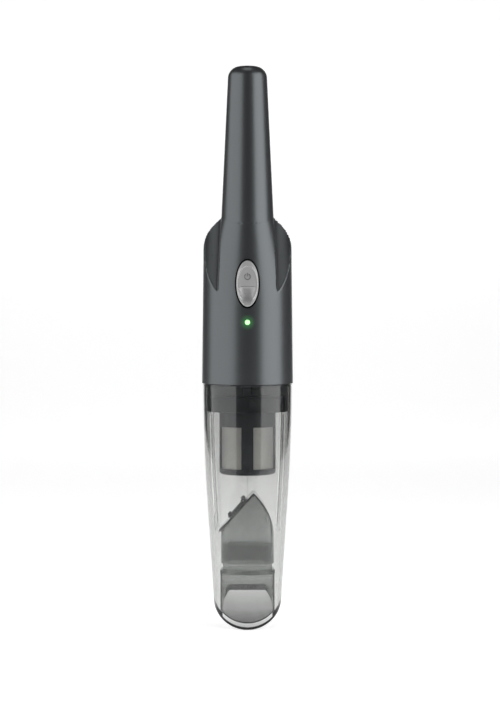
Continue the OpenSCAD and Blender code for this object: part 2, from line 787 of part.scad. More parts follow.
module filter_frame() color("#4a4e51") difference() {
    union() {
        ring(flange_r - 1.8, flange_r, flange_z, flange_top);
        ring(collar_r - 1, flange_r - 0.5, flange_z, flange_z + 2);
        ring(collar_r - 1.6, collar_r, flange_z, 195.2);
        difference() {
            rotate_extrude() {
                translate([0, cage_z + 3]) square([cage_r, flange_z + 1 - cage_z]);
                translate([0, cage_z]) square([cage_r - 3, 4]);
                translate([cage_r - 3, cage_z + 3]) circle(r = 3);
            }
            translate([0, 0, cage_z + 2]) cylinder(r = cage_r - 1.6, h = far);
        }
    }
    for (a = [45:90:315]) rotate(a) intersection() {
        translate([0, 0, 126.8]) cylinder(r = far, h = 33.6);
        rotate(-33) cube([far, far, 400]);
        rotate(33) translate([0, -far, 0]) cube([far, far, 400]);
    }
    for (k = [0:rib_count - 1]) rotate(k * 360 / rib_count)
        translate([-1, -far, flange_z - 1]) cube([2, far - flange_r + rib_proud, 20]);
}

module filter_gasket() color("#1d1f20") difference() {
    ring(flange_r - 1.6, flange_r + 0.2, flange_top, seat_z - 0.1);
    for (k = [0:rib_count - 1]) rotate(k * 360 / rib_count)
        translate([-1, -far, flange_z - 1]) cube([2, far - flange_r + rib_proud, 20]);
}

module filter_mesh() color("#b9b6ae") ring(20.3, 20.8, 124.4, 162);

module pleated_filter() color("#e9e7df") translate([0, 0, 126]) linear_extrude(height = 42) difference() {
    pleat_star(19.4, 14.6);
    pleat_star(18.6, 13.8);
}

module pleat_star(r_out, r_in) polygon([for (k = [0:2 * pleats - 1])
    (k % 2 ? r_in : r_out) * [cos(180 * k / pleats), sin(180 * k / pleats)]]);

module filter_end_caps() color("#3b6ea5") {
    translate([0, 0, 124.1]) cylinder(r = 19.9, h = 1.9);
    ring(12, 20.7, 168, 170.2);
}

placed() front_cover();
placed() rear_cover();
placed() cover_screws();
placed() led_lens();
placed() motor_frame();
placed() frame_seal();
placed() fan_housing();
placed() motor_can();
placed() motor_magnets();
placed() motor_bushes();
placed() motor_brushes();
placed() motor_end_cap();
placed() motor_terminals();
placed() motor_screws();
placed() motor_damper();
placed() motor_cradle();
placed() circuit_board();
placed() board_components();
placed() board_screws();
placed() push_switch();
placed() status_led();
placed() battery_cells();
placed() battery_cradle();
placed() battery_tabs();
placed() battery_leads();
placed() charge_leads();
placed() motor_leads();
placed() charge_socket();
placed() charge_pin();
placed() exhaust_filter();
placed() latch_pin();
placed() latch_spring();
placed() button_cap();
placed() switch_plunger();
placed() release_button();
placed() motor_shaft();
placed() impeller();
placed() armature_core();
placed() armature_windings();
placed() commutator();
placed() container_shell();
placed() nozzle_throat();
placed() inlet_duct();
placed() flap_pin();
placed() flap_valve();
placed() filter_frame();
placed() filter_gasket();
placed() filter_mesh();
placed() pleated_filter();
placed() filter_end_caps();
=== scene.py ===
import math

import bmesh
import bpy
import numpy as np
from mathutils import Matrix, Vector


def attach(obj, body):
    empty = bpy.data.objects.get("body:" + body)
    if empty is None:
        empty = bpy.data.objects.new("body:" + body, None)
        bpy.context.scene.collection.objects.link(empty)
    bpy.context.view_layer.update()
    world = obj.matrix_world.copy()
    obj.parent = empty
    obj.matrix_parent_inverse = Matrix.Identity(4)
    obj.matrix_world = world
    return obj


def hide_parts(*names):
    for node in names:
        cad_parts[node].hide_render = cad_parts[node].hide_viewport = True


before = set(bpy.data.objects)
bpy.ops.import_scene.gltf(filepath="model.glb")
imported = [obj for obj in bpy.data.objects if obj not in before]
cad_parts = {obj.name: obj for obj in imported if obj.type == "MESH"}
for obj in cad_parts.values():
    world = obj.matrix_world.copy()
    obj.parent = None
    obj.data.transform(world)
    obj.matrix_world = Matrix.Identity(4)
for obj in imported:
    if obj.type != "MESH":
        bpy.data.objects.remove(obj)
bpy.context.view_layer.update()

# Lengths below are millimetres, and heights are counted from the nozzle tip.
# place() turns them into the row's frame, whose origin is the middle of the grip.
MM = 0.001
GRIP_Z = 381.0
FAR = 70.0

# ---------------------------------------------------------------- housing form
BODY_LOW = 194.8
BODY_R = 36.4
SHOULDER_Z = 301.2
SHOULDER_R = 35.2
DOME_R = 50.0
HANDLE_Y = -8.0
HANDLE_Z = 331.0
HANDLE_R = 20.6
HANDLE_TAPER = 0.04659
HANDLE_LEN = 115.9
HANDLE_ROUND = 8.8
HANDLE_TILT = math.radians(2.2)
HANDLE_LOW = 322.0
BODY_TAPER = 0.0113
COLUMN_Z = 272.0
COLUMN_EASE = 10.0
SIDE_TOP = 20.5
SIDE_SPREAD = 2.3 / 60
SCOOP_Y = -10.5
SCOOP_Z = 289.7
SCOOP_SLOPE = 0.75
SCOOP_X = 27.5
SCOOP_HALF = 6.5
SCOOP_HOLLOW = 1.1
LEAF_X = 32.4
LEAF_Z = 313.8
LEAF_RISE = 1.21
LEAF_SCALE = 1.3
SEAM_BEND_LOW = 253.0
SEAM_BEND_HIGH = 339.0
WALL = 2.4
BUTTON_Z = 274.4
LED_Z = 244.0
PIVOT_Y = 30.0
PIVOT_Z = 226.5
SCREWS = [(x, z) for x in (-24.5, 24.5) for z in (231.0, 272.0)]
SLOTS = 8


def place(points):
    """Points in millimetres above the nozzle tip, as metres in the row's frame."""
    points = np.asarray(points, float).reshape(-1, 3)
    return (points - (0, 0, GRIP_Z)) * MM


def union(a, b, r):
    """Joins two distance fields with a fillet of radius r."""
    inner = np.hypot(np.maximum(r - a, 0), np.maximum(r - b, 0))
    return np.maximum(r, np.minimum(a, b)) - inner


def common(a, b, r):
    """The part inside both fields, its edge rounded to radius r."""
    outer = np.hypot(np.maximum(r + a, 0), np.maximum(r + b, 0))
    return np.minimum(-r, np.maximum(a, b)) + outer


def ramp(z, start, ease):
    """Zero below start and z - start above it, eased over a stretch on either side."""
    t = np.clip((z - start + ease) / (2 * ease), 0, 1)
    return np.where(z > start + ease, z - start, ease * t * t)


def body_field(x, y, z):
    """A slightly tapered drum with a domed top."""
    r = np.hypot(x, y)
    side = r - SHOULDER_R - (BODY_R - SHOULDER_R) * (SHOULDER_Z - z) / (SHOULDER_Z - BODY_LOW)
    dome = np.hypot(r + DOME_R - SHOULDER_R, z - SHOULDER_Z) - DOME_R
    return np.where(z < SHOULDER_Z, side, dome)


def handle_field(x, y, z):
    forward = y - HANDLE_Y
    up = z - HANDLE_Z
    across = forward * math.cos(HANDLE_TILT) - up * math.sin(HANDLE_TILT)
    along = forward * math.sin(HANDLE_TILT) + up * math.cos(HANDLE_TILT)
    side = np.hypot(x, across) - HANDLE_R + HANDLE_TAPER * along
    return common(side, along - HANDLE_LEN, HANDLE_ROUND)


def column_field(x, y, z):
    """The front of the body, drawn in towards the handle."""
    rise = ramp(z, COLUMN_Z, COLUMN_EASE)
    span = HANDLE_Z - COLUMN_Z
    centre = HANDLE_Y * rise / span
    wide = BODY_R - BODY_TAPER * (z - BODY_LOW)
    narrow = wide - (SHOULDER_R + 0.4 - HANDLE_R) * rise / span
    return (np.hypot(x, y - centre) - narrow) * 0.98


def side_half(z):
    """Half the width left between the scoops."""
    return SIDE_TOP + SIDE_SPREAD * (HANDLE_Z - z)


def scoop_field(x, y, z):
    """Positive in front of the scoops' floor, which is slightly hollow."""
    floor = SCOOP_Y + SCOOP_SLOPE * (z - SCOOP_Z)
    hollow = SCOOP_HOLLOW * np.clip(1 - ((np.abs(x) - SCOOP_X) / SCOOP_HALF) ** 2, 0, 1)
    return (floor + hollow - y) / math.hypot(1, SCOOP_SLOPE)


def housing_field(p):
    """The whole outside: body, scoops with a leaf behind each, column and handle."""
    x, y, z = p[..., 0], p[..., 1], p[..., 2]
    side = np.abs(x) - side_half(z)
    body = body_field(x, y, z)
    scoop = scoop_field(x, y, z)
    handle = handle_field(x, y, z)
    between = np.maximum(union(side, scoop, 1.9), body)
    shoulder = (np.abs(x) - LEAF_X + (z - LEAF_Z) / LEAF_RISE) / LEAF_SCALE
    leaf = np.maximum(common(body, scoop, 0.9), shoulder)
    behind = np.minimum(leaf, np.maximum(between, -y))
    rear = union(behind, np.maximum(handle, HANDLE_LOW - z), 2.2)
    column = np.maximum(column_field(x, y, z), z - HANDLE_Z - 4)
    front = np.maximum(between, column)
    return np.minimum(np.minimum(rear, front), np.maximum(handle, HANDLE_Z - z))


def inner_field(p):
    return housing_field(p) + WALL


def ended(field, low):
    """The field's solid, ended below at a height."""
    return lambda p: np.maximum(field(p), low - p[..., 2])


def seam_y(z):
    """How far back the seam between the covers is at a height."""
    line = HANDLE_Y + (z - HANDLE_Z) * math.tan(HANDLE_TILT)
    bend = HANDLE_Y + (SEAM_BEND_HIGH - HANDLE_Z) * math.tan(HANDLE_TILT)
    slant = bend * (z - SEAM_BEND_LOW) / (SEAM_BEND_HIGH - SEAM_BEND_LOW)
    return line if z > SEAM_BEND_HIGH else max(min(slant, 0.0), bend)


# ---------------------------------------------------------------- mesh tools
def gradient(field, p):
    step = 0.02
    slopes = [field(p + step * axis) - field(p - step * axis) for axis in np.eye(3)]
    return np.stack(slopes, -1) / (2 * step)


def settle(field, p, rounds=5):
    """Moves points onto the field's surface."""
    for _ in range(rounds):
        slope = gradient(field, p)
        size = np.maximum((slope**2).sum(-1), 0.2)
        p = p - np.clip(field(p) / size, -0.8, 0.8)[:, None] * slope
    return p


def net(field, low, high, step):
    """A quad mesh of the field's surface: one point in each cell that the surface crosses."""
    axes = [np.arange(a, b + step, step) for a, b in zip(low, high)]
    grid = np.stack(np.meshgrid(*axes, indexing="ij"), -1)
    inside = field(grid) < 0
    count = np.zeros([n - 1 for n in inside.shape], int)
    cells = [slice(None, -1), slice(1, None)]
    for i in (0, 1):
        for j in (0, 1):
            for k in (0, 1):
                count += inside[cells[i], cells[j], cells[k]]
    crossed = (count > 0) & (count < 8)
    number = np.full(crossed.shape, -1)
    number[crossed] = np.arange(crossed.sum())
    points = np.argwhere(crossed) * step + np.array(low) + step / 2
    faces = []
    for axis in range(3):
        near = [slice(1, -1)] * 3
        near[axis] = slice(None, -1)
        far = list(near)
        far[axis] = slice(1, None)
        a, b = inside[tuple(near)], inside[tuple(far)]
        u, v = [(1, 2), (2, 0), (0, 1)][axis]
        for first, second, turn in ((a, b, 1), (b, a, -1)):
            at = np.argwhere(first & ~second)
            at[:, [u, v]] += 1
            corners = []
            for du, dv in ((-1, -1), (0, -1), (0, 0), (-1, 0))[::turn]:
                cell = at.copy()
                cell[:, u] += du
                cell[:, v] += dv
                corners.append(number[cell[:, 0], cell[:, 1], cell[:, 2]])
            faces.append(np.stack(corners, -1))
    return settle(field, points), np.concatenate(faces)


def add(name, points, faces):
    """A mesh object from points in millimetres."""
    mesh = bpy.data.meshes.new(name)
    mesh.from_pydata(place(points).tolist(), [], [list(map(int, f)) for f in faces])
    mesh.validate()
    mesh.update()
    piece = bpy.data.objects.new(name, mesh)
    bpy.context.scene.collection.objects.link(piece)
    return piece


def outward(piece):
    shape = bmesh.new()
    shape.from_mesh(piece.data)
    bmesh.ops.recalc_face_normals(shape, faces=shape.faces)
    shape.to_mesh(piece.data)
    shape.free()
    return piece


def prism(outline, low, high, axis="z", name="tool"):
    """A solid from an outline in the two other axes, between two levels of axis."""
    outline = np.asarray(outline, float)
    n = len(outline)
    columns = {"x": (1, 2, 0), "y": (0, 2, 1), "z": (0, 1, 2)}[axis]
    points = np.zeros((2 * n, 3))
    points[:, columns[0]] = np.tile(outline[:, 0], 2)
    points[:, columns[1]] = np.tile(outline[:, 1], 2)
    points[:, columns[2]] = np.repeat([low, high], n)
    sides = [(k, (k + 1) % n, n + (k + 1) % n, n + k) for k in range(n)]
    faces = [tuple(range(n))[::-1], tuple(range(n, 2 * n)), *sides]
    return outward(add(name, points, faces))


def turned(profile, name="tool", steps=144):
    """A ring or a solid of revolution from a closed profile of (radius, height)."""
    profile = [(max(r, 0.0), z) for r, z in profile]
    points, rows = [], []
    for r, z in profile:
        if r < 1e-6:
            rows.append([len(points)] * steps)
            points.append((0, 0, z))
            continue
        rows.append(list(range(len(points), len(points) + steps)))
        for k in range(steps):
            a = 2 * math.pi * k / steps
            points.append((r * math.cos(a), r * math.sin(a), z))
    faces = []
    for i, row in enumerate(rows):
        after = rows[(i + 1) % len(rows)]
        for k in range(steps):
            m = (k + 1) % steps
            corners = list(dict.fromkeys((row[k], row[m], after[m], after[k])))
            if len(corners) > 2:
                faces.append(corners)
    return outward(add(name, points, faces))


def tube(r_in, r_out, low, high, name="tool", edge=0.2, steps=144):
    """A ring with small chamfers."""
    e = edge
    return turned(
        [
            (r_in + e, low), (r_out - e, low), (r_out, low + e), (r_out, high - e),
            (r_out - e, high), (r_in + e, high), (r_in, high - e), (r_in, low + e),
        ],
        name,
        steps,
    )


def rod(r, start, end, name="tool", steps=48, edge=0.0):
    """A cylinder between two points."""
    start, end = Vector(start), Vector(end)
    length = (end - start).length
    e = edge
    profile = [(0, 0), (r - e, 0), (r, e), (r, length - e), (r - e, length), (0, length)]
    if e == 0:
        profile = [(0, 0), (r, 0), (r, length), (0, length)]
    piece = turned(profile, name, steps)
    turn = (end - start).to_track_quat("Z", "Y").to_matrix().to_4x4()
    back = Matrix.Translation(Vector((0, 0, GRIP_Z * MM)))
    there = Matrix.Translation(Vector(place([start])[0]))
    piece.data.transform(there @ turn @ back)
    return piece


def ellipse(a, b, z, x=0.0, steps=96):
    turns = np.arange(steps) * 2 * math.pi / steps
    return np.stack([x + a * np.cos(turns), z + b * np.sin(turns)], -1)


def rounded(x0, x1, y0, y1, r, steps=6):
    """Outline of a rectangle with round corners."""
    points = []
    corners = ((x1 - r, y1 - r, 0), (x0 + r, y1 - r, 90), (x0 + r, y0 + r, 180), (x1 - r, y0 + r, 270))
    for cx, cy, start in corners:
        for k in range(steps + 1):
            a = math.radians(start + 90 * k / steps)
            points.append((cx + r * math.cos(a), cy + r * math.sin(a)))
    return points


def combine(piece, tools, operation):
    """Applies a boolean with several tool meshes, which are used up."""
    for tool in tools:
        modifier = piece.modifiers.new("cut", "BOOLEAN")
        modifier.operation = operation
        modifier.solver = "MANIFOLD"
        modifier.object = tool
    bpy.context.view_layer.update()
    graph = bpy.context.evaluated_depsgraph_get()
    mesh = bpy.data.meshes.new_from_object(piece.evaluated_get(graph))
    piece.modifiers.clear()
    old = piece.data
    piece.data = mesh
    bpy.data.meshes.remove(old)
    for tool in tools:
        bpy.data.objects.remove(tool)
    if len(piece.data.polygons) == 0:
        raise RuntimeError(f"{piece.name} came out empty")
    return piece


def cut(piece, *tools):
    return combine(piece, tools, "DIFFERENCE")


def keep(piece, *tools):
    return combine(piece, tools, "INTERSECT")


def fuse(piece, *tools):
    return combine(piece, tools, "UNION")


def join(piece, *others):
    """Puts separate solids into one piece."""
    shape = bmesh.new()
    for part in (piece, *others):
        shape.from_mesh(part.data)
    shape.to_mesh(piece.data)
    shape.free()
    for part in others:
        bpy.data.objects.remove(part)
    return piece


def soften(piece, angle=32):
    """Smooth shading with crisp edges."""
    mesh = piece.data
    mesh.shade_smooth()
    mesh.set_sharp_from_angle(angle=math.radians(angle))
    return piece


def follow(piece, *fields, reach=0.05, angle=28):
    """Takes the normals from the fields wherever a face lies on one of their surfaces."""
    mesh = piece.data
    mesh.shade_smooth()
    count = len(mesh.loops)
    owner = np.zeros(count, int)
    mesh.loops.foreach_get("vertex_index", owner)
    co = np.zeros(len(mesh.vertices) * 3)
    mesh.vertices.foreach_get("co", co)
    co = co.reshape(-1, 3) / MM + (0, 0, GRIP_Z)
    flat = np.zeros(len(mesh.polygons) * 3)
    mesh.polygons.foreach_get("normal", flat)
    total = np.zeros(len(mesh.polygons), int)
    mesh.polygons.foreach_get("loop_total", total)
    normals = np.repeat(flat.reshape(-1, 3), total, 0)
    limit = math.cos(math.radians(angle))
    for field in fields:
        slope = gradient(field, co)
        slope /= np.maximum(np.linalg.norm(slope, axis=1), 1e-9)[:, None]
        on = np.abs(field(co)) < reach
        each = slope[owner]
        agree = (each * normals).sum(-1)
        use = on[owner] & (np.abs(agree) > limit)
        normals[use] = each[use] * np.sign(agree[use])[:, None]
    mesh.normals_split_custom_set(normals.tolist())
    return piece


def wear(piece, body, slot, material, *nodes):
    """Gives a piece its material, the body it rides on and the CAD nodes it stands for."""
    piece.data.materials.clear()
    piece.data.materials.append(material)
    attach(piece, body)
    if nodes:
        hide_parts(*nodes)
    return piece


# ---------------------------------------------------------------- housing shells
def on_handle(x, y, along):
    """A point given in the handle's own frame."""
    c, s = math.cos(HANDLE_TILT), math.sin(HANDLE_TILT)
    return (x, HANDLE_Y + y * c + along * s, HANDLE_Z - y * s + along * c)


def half_space(front, gap=0.05):
    """A prism on one side of the seam between the covers."""
    sign = -1 if front else 1
    levels = (BODY_LOW, SEAM_BEND_LOW, SEAM_BEND_HIGH, 460)
    seam = [(seam_y(z) + sign * gap, z) for z in levels]
    return prism([*seam, (sign * FAR, 460), (sign * FAR, BODY_LOW)], -FAR, FAR, "x")


def socket_hole():
    return rod(4, on_handle(0, 0, 104), on_handle(0, 0, 130))


def make_wall():
    """The housing's two shells as one closed wall."""
    low, high = (-38, -38, 186), (38, 38, 449)
    outer = outward(add("wall", *net(ended(housing_field, BODY_LOW - 4), low, high, 1.05)))
    inner = outward(add("inner", *net(ended(inner_field, BODY_LOW - 7), low, high, 1.4)))
    return cut(outer, inner)


wall_piece = make_wall()


def make_front_shell():
    piece = wall_piece.copy()
    piece.data = wall_piece.data.copy()
    piece.name = "front_shell"
    bpy.context.scene.collection.objects.link(piece)
    keep(piece, half_space(True))
    cut(
        piece,
        prism(ellipse(9.9, 19.6, BUTTON_Z), -FAR, -20, "y"),
        rod(2.1, (0, -FAR, LED_Z), (0, -20, LED_Z)),
        socket_hole(),
    )
    return follow(piece, housing_field, inner_field)


def make_rear_shell():
    piece = wall_piece
    piece.name = "rear_shell"
    keep(piece, half_space(False))
    tools = [socket_hole(), prism(rounded(-8.4, 8.4, 206, 223.6, 1.2), PIVOT_Y + 1, FAR, "y")]
    for x, z in SCREWS:
        tools.append(rod(3.1, (x, 13, z), (x, FAR, z)))
    for k in range(SLOTS):
        half = 13 - (k - (SLOTS - 1) / 2) ** 2 * 0.45
        z = 265 + 4.7 * k
        tools.append(prism(rounded(-half, half, z, z + 2.2, 1.0), 20, FAR, "y"))
    cut(piece, *tools)
    return follow(piece, housing_field, inner_field)


# ---------------------------------------------------------------- power button
# Half widths and half heights of its ovals
KEY = (8.8, 18.1)
RING_OUT = (8.5, 14.6)
RING_IN = (7.3, 13.3)
SKIRT_OUT = (8.6, 17.8)
SKIRT_IN = (7.4, 16.4)
FLANGE = (10.6, 20.4)
MARKED = (5.2, 11.2)
SKIRT_SHADE_OVAL = (8.1, 17.2)
ICON_Z = 5.4
ICON_R = 2.25
DISH_EDGE_SHADE_Z = -2.1


def column_skin(p):
    return column_field(p[..., 0], p[..., 1], p[..., 2])


def oval_field(x, z, a, b):
    """Near enough a distance from an ellipse's edge."""
    reach = np.hypot(x / a, z / b)
    slope = np.maximum(np.hypot(x / a**2, z / b**2), 1e-6)
    return reach * (reach - 1) / slope


def bar(u, v, half_u, half_v):
    return np.maximum(np.abs(u) - half_u, np.abs(v) - half_v)


def button_field(p):
    """The key: a ringed face with a raised icon and a dish, and its skirt, flange and post."""
    x, y, z = p[..., 0], p[..., 1], p[..., 2] - BUTTON_Z
    skin = column_skin(p)
    cap = common(skin - 0.4, oval_field(x, z, *KEY), 0.7)
    band = np.maximum(oval_field(x, z, *RING_OUT), -oval_field(x, z, *RING_IN))
    cap = union(cap, common(skin - 1.0, band, 0.35), 0.25)
    icon = np.abs(np.hypot(x, z - ICON_Z) - ICON_R) - 0.35
    gap = bar(x, z - ICON_Z - 2.0, 0.9, 1.4)
    icon = np.minimum(np.maximum(icon, -gap), bar(x, z - ICON_Z - 1.7, 0.35, 1.4))
    cap = union(cap, np.maximum(skin - 0.75, icon), 0.12)
    ball = np.sqrt(x**2 + (y + 44.3) ** 2 + (z + 6.4) ** 2) - 13
    wedge = np.maximum(z + 2.2, np.maximum(np.abs(x) * 0.93 - z * 0.36 - 8.0, np.abs(x) - 7))
    cap = common(cap, -common(ball, wedge, 0.5), 0.3)
    skirt = np.maximum(oval_field(x, z, *SKIRT_OUT), -oval_field(x, z, *SKIRT_IN))
    skirt = np.maximum(skirt, np.maximum(y + 27.2, -y - 33))
    flange = np.maximum(oval_field(x, z, *FLANGE), -oval_field(x, z, *SKIRT_IN))
    flange = np.maximum(flange, np.maximum(y + 26.4, -y - 27.3))
    post = np.maximum(np.hypot(x, z) - 2.2, np.maximum(y + 30.4, -y - 33))
    cap = np.maximum(cap, y + 31)
    return np.minimum(np.minimum(cap, skirt), np.minimum(flange, post))


def make_button():
    low, high = (-11, -37.5, BUTTON_Z - 21), (11, -26, BUTTON_Z + 21)
    return outward(add("button_key", *net(button_field, low, high, 0.3)))


def finish_button(piece, polished, painted_shade, print_and_shade):
    """Gives the raised ring and the raised marks on the face finishes of their own; paints a dark band along
    the dish's upper edge and the skirt below the face black: painted shade in the crease and in the well
    round the key.
    """
    mesh = piece.data
    for material in (polished, painted_shade, print_and_shade):
        mesh.materials.append(material)
    for face in mesh.polygons:
        spot = np.array(face.center / MM) + (0, 0, GRIP_Z)
        x, z = spot[0], spot[2] - BUTTON_Z
        skin = column_skin(spot)
        # raised icon: printed mark; the band at the dish's upper edge: painted shade
        if oval_field(x, z, *MARKED) < 0 and (skin > 0.52 or abs(z - DISH_EDGE_SHADE_Z) < 0.28):
            face.material_index = 3
        elif skin > 0.52:
            face.material_index = 1
        # the skirt inside the well, painted black: painted shade
        elif skin < -0.6 and oval_field(x, z, *SKIRT_SHADE_OVAL) > 0:
            face.material_index = 2
    return soften(piece, 40)


# ---------------------------------------------------------------- small front parts
def make_lens():
    """A domed lens with a collar behind the housing's wall."""
    dome = [(0, 0), (1.2, 0.1), (1.7, 0.35), (2.0, 0.9), (2.0, 5.2), (3.2, 5.2), (3.2, 6.0), (0, 6.0)]
    piece = turned([(r, GRIP_Z + z) for r, z in dome], "lens", 48)
    turn = Matrix.Rotation(math.radians(-90), 4, "X")
    spot = Matrix.Translation(Vector(place([(0, -36.05, LED_Z)])[0]))
    piece.data.transform(spot @ turn)
    return soften(piece)


def make_screws():
    """Pan-head screws with a cross recess, one at each corner of the rear cover."""
    parts = []
    head = [(0, 0), (1.9, 0.05), (2.5, 0.4), (2.8, 1.0), (2.8, 1.96)]
    shank = [(1.25, 1.96), (1.25, 26), (0.4, 27), (0, 27)]
    for x, z in SCREWS:
        screw = turned([(r, GRIP_Z + depth) for r, depth in (*head, *shank)], "screw", 40)
        screw.data.transform(Matrix.Rotation(math.radians(90), 4, "X"))
        screw.data.transform(Matrix.Translation(Vector(place([(x, 15, z)])[0])))
        across = prism(rounded(x - 1.7, x + 1.7, z - 0.35, z + 0.35, 0.15), 14.0, 16, "y")
        upright = prism(rounded(x - 0.35, x + 0.35, z - 1.7, z + 1.7, 0.15), 14.0, 16, "y")
        parts.append(cut(screw, across, upright))
    parts[0].name = "shell_screws"
    return soften(join(*parts))


# ---------------------------------------------------------------- dust container
CUP_TOP = 194.2
CUP_WALL = 2.4
CUP_R = 35.5
CUP_BEND = 109.0
CUP_CURVE = 2656.0
CUP_TAPER = 0.0642
MOUTH_Z = 21.7
MOUTH_SLOPE = 0.84
END_RISE = CUP_WALL * math.hypot(1, MOUTH_SLOPE)
DUCT_HALF = 20.6
DUCT_BACK = 8.6
HOOD_X = 4.7
HOOD_Z = 108.7
HOOD_BEND = 72.0
HOOD_R = 49.4
SLANT = 1.121
FLAP_X = -3.47
FLAP_Z = 102.1
FLAP_Y = (-17.0, 5.6)
RIBS = 6


def cup_radius(z):
    """Gently bowed at the top and tapered below the bend."""
    taper = CUP_R - (CUP_TOP - CUP_BEND) ** 2 / CUP_CURVE - CUP_TAPER * (CUP_BEND - z)
    return np.where(z > CUP_BEND, CUP_R - (CUP_TOP - z) ** 2 / CUP_CURVE, taper)


def cup_solid(inset, top, name="tool"):
    """The cup's outside, taken in by inset and continued up to top."""
    levels = np.concatenate([np.arange(-14, CUP_BEND, 12.0), np.linspace(CUP_BEND, CUP_TOP, 18)])
    side = [(float(cup_radius(z)) - inset, float(z)) for z in levels]
    if top > CUP_TOP:
        side.append((side[-1][0], top))
    return turned([(0, -14), *side, (0, side[-1][1])], name, 180)


def cup_skin(p):
    return np.hypot(p[..., 0], p[..., 1]) - cup_radius(p[..., 2])


def cup_lining(p):
    return cup_skin(p) + CUP_WALL


def above_mouth(rise):
    """Everything above the mouth's slanted plane, raised by rise."""
    low = MOUTH_Z - FAR * MOUTH_SLOPE + rise
    high = MOUTH_Z + FAR * MOUTH_SLOPE + rise
    return prism([(-FAR, low), (FAR, high), (FAR, 300), (-FAR, 300)], -FAR, FAR, "x")


def plan(inside, centre, steps=160):
    """An outline, seen from above, of the region that inside(x, y) gives as negative."""
    points = []
    for k in range(steps):
        a = 2 * math.pi * (k + 0.5) / steps
        low, high = 0.0, 90.0
        for _ in range(30):
            middle = (low + high) / 2
            if inside(middle * math.cos(a), centre + middle * math.sin(a)) < 0:
                low = middle
            else:
                high = middle
        points.append((low * math.cos(a), centre + low * math.sin(a)))
    return points


def throat_plan(inset):
    """The throat seen from above: straight back and sides, with a round front."""

    def inside(x, y):
        edge = max(abs(x) - DUCT_HALF + inset, y - DUCT_BACK + inset, -60 - y)
        return max(edge, min(math.hypot(x, y + 5.7) - 20.9 + inset, y + 5.7))

    return plan(inside, -6.0)


def duct_plan(inset):
    """The duct seen from above: two shallow arcs between straight sides."""

    def inside(x, y):
        edge = max(abs(x) - DUCT_HALF + inset, y - DUCT_BACK + inset, -20 - y + inset)
        return max(edge, math.hypot(x, y + 7.3) - 21.6 + inset, math.hypot(x, y + 4.1) - 21.6 + inset)

    return plan(inside, -5.7)


def make_cup():
    piece = cup_solid(0, CUP_TOP, "clear_cup")
    keep(piece, above_mouth(0))
    room = keep(cup_solid(CUP_WALL, CUP_TOP + 1, "room"), above_mouth(END_RISE))
    cut(piece, room)
    ribs = []
    for k in range(RIBS):
        levels = np.linspace(78, 171, 20)
        outer = [(-float(cup_radius(z)) + 2.2, float(z)) for z in levels]
        inner = [(-float(cup_radius(z)) + 3.6, float(z)) for z in levels[::-1]]
        rib = prism([*outer, *inner], -0.5, 0.5, "x")
        rib.data.transform(Matrix.Rotation(math.radians(360 / RIBS * k), 4, "Z"))
        ribs.append(rib)
    fuse(piece, *ribs)
    hole = keep(prism(throat_plan(1.6), -20, 43.5), cup_solid(CUP_WALL, CUP_TOP))
    pocket = prism(rounded(-5.4, 5.4, 30, 34.5, 0.6), 186.4, 191)
    key = prism(rounded(-3.4, 3.4, -34.5, -31.5, 0.6), 186, 206)
    cut(piece, hole, pocket, key)
    return follow(piece, cup_skin, cup_lining, reach=0.12)


def make_throat():
    """The clear tube behind the mouth, the shelf over it and the spigot for the duct."""
    wall = prism(throat_plan(0), -12, 43.7, name="clear_throat")
    cut(wall, keep(prism(throat_plan(1.6), -20, 60), cup_solid(CUP_WALL + 1.2, CUP_TOP)))
    keep(wall, cup_solid(CUP_WALL + 0.05, CUP_TOP), above_mouth(END_RISE + 0.05))
    shelf = cut(prism(throat_plan(-0.3), 43.6, 46.8), prism(duct_plan(2.75), 40, 60))
    keep(shelf, cup_solid(CUP_WALL + 0.05, CUP_TOP))
    spigot = cut(prism(duct_plan(1.35), 46.7, 66.7), prism(duct_plan(2.75), 40, 70))
    return soften(fuse(wall, shelf, spigot))


def slant_block(depth, curve=0.0):
    """Everything under the hood's slanted plane and inside its curved side, unless curve is None."""
    low = HOOD_Z + SLANT * (-FAR - HOOD_X) - depth
    high = HOOD_Z + SLANT * (FAR - HOOD_X) - depth
    block = prism([(-FAR, -200), (-FAR, low), (FAR, high), (FAR, -200)], -FAR, FAR, "y")
    if curve is None:
        return block
    side = DUCT_HALF - curve
    r = HOOD_R - curve
    quarter = np.linspace(0, math.pi / 2, 40)
    arc = [(DUCT_HALF - HOOD_R + r * math.cos(a), HOOD_BEND + r * math.sin(a)) for a in quarter]
    outline = [(-FAR, 0), (side, 0), *arc, (-FAR, HOOD_BEND + r)]
    return keep(block, prism(outline, -FAR, FAR, "y"))


def make_duct():
    rim = 1.6 * math.hypot(1, SLANT)
    piece = keep(prism(duct_plan(0), 51.6, 140, name="duct_hood"), slant_block(0))
    room = keep(prism(duct_plan(1.25), 50, 140), slant_block(0, 1.3), slant_block(rim, None))
    middle = sum(FLAP_Y) / 2
    window = keep(
        prism(rounded(-13.4, -5, FLAP_Y[0] + 1.4, FLAP_Y[1] - 1.4, 1.0), 60, 140),
        prism(ellipse(12.5, 12.5, middle, -6), 50, 150),
    )
    cut(piece, room, window)
    lip = keep(prism(duct_plan(-1.9), 60, 140), slant_block(0))
    cut(lip, slant_block(rim, None), prism(duct_plan(0.3), 50, 150))
    mark = prism(rounded(-6.4, 6.4, 56.6, 57.4, 0.35), -20.5, -19.5, "y")
    fuse(piece, lip, mark)
    lugs = []
    for y in ((FLAP_Y[0] - 2, FLAP_Y[0] - 0.3), (FLAP_Y[1] + 0.3, FLAP_Y[1] + 2)):
        lug = prism(rounded(-1.8, 1.8, GRIP_Z - 3.2, GRIP_Z + 1.7, 0.8), y[0], y[1], "y")
        on_flap(lug)
        bore = rod(0.7, (FLAP_X, y[0] - 1, FLAP_Z), (FLAP_X, y[1] + 1, FLAP_Z))
        lugs.append(cut(lug, bore))
    return soften(join(piece, *lugs))


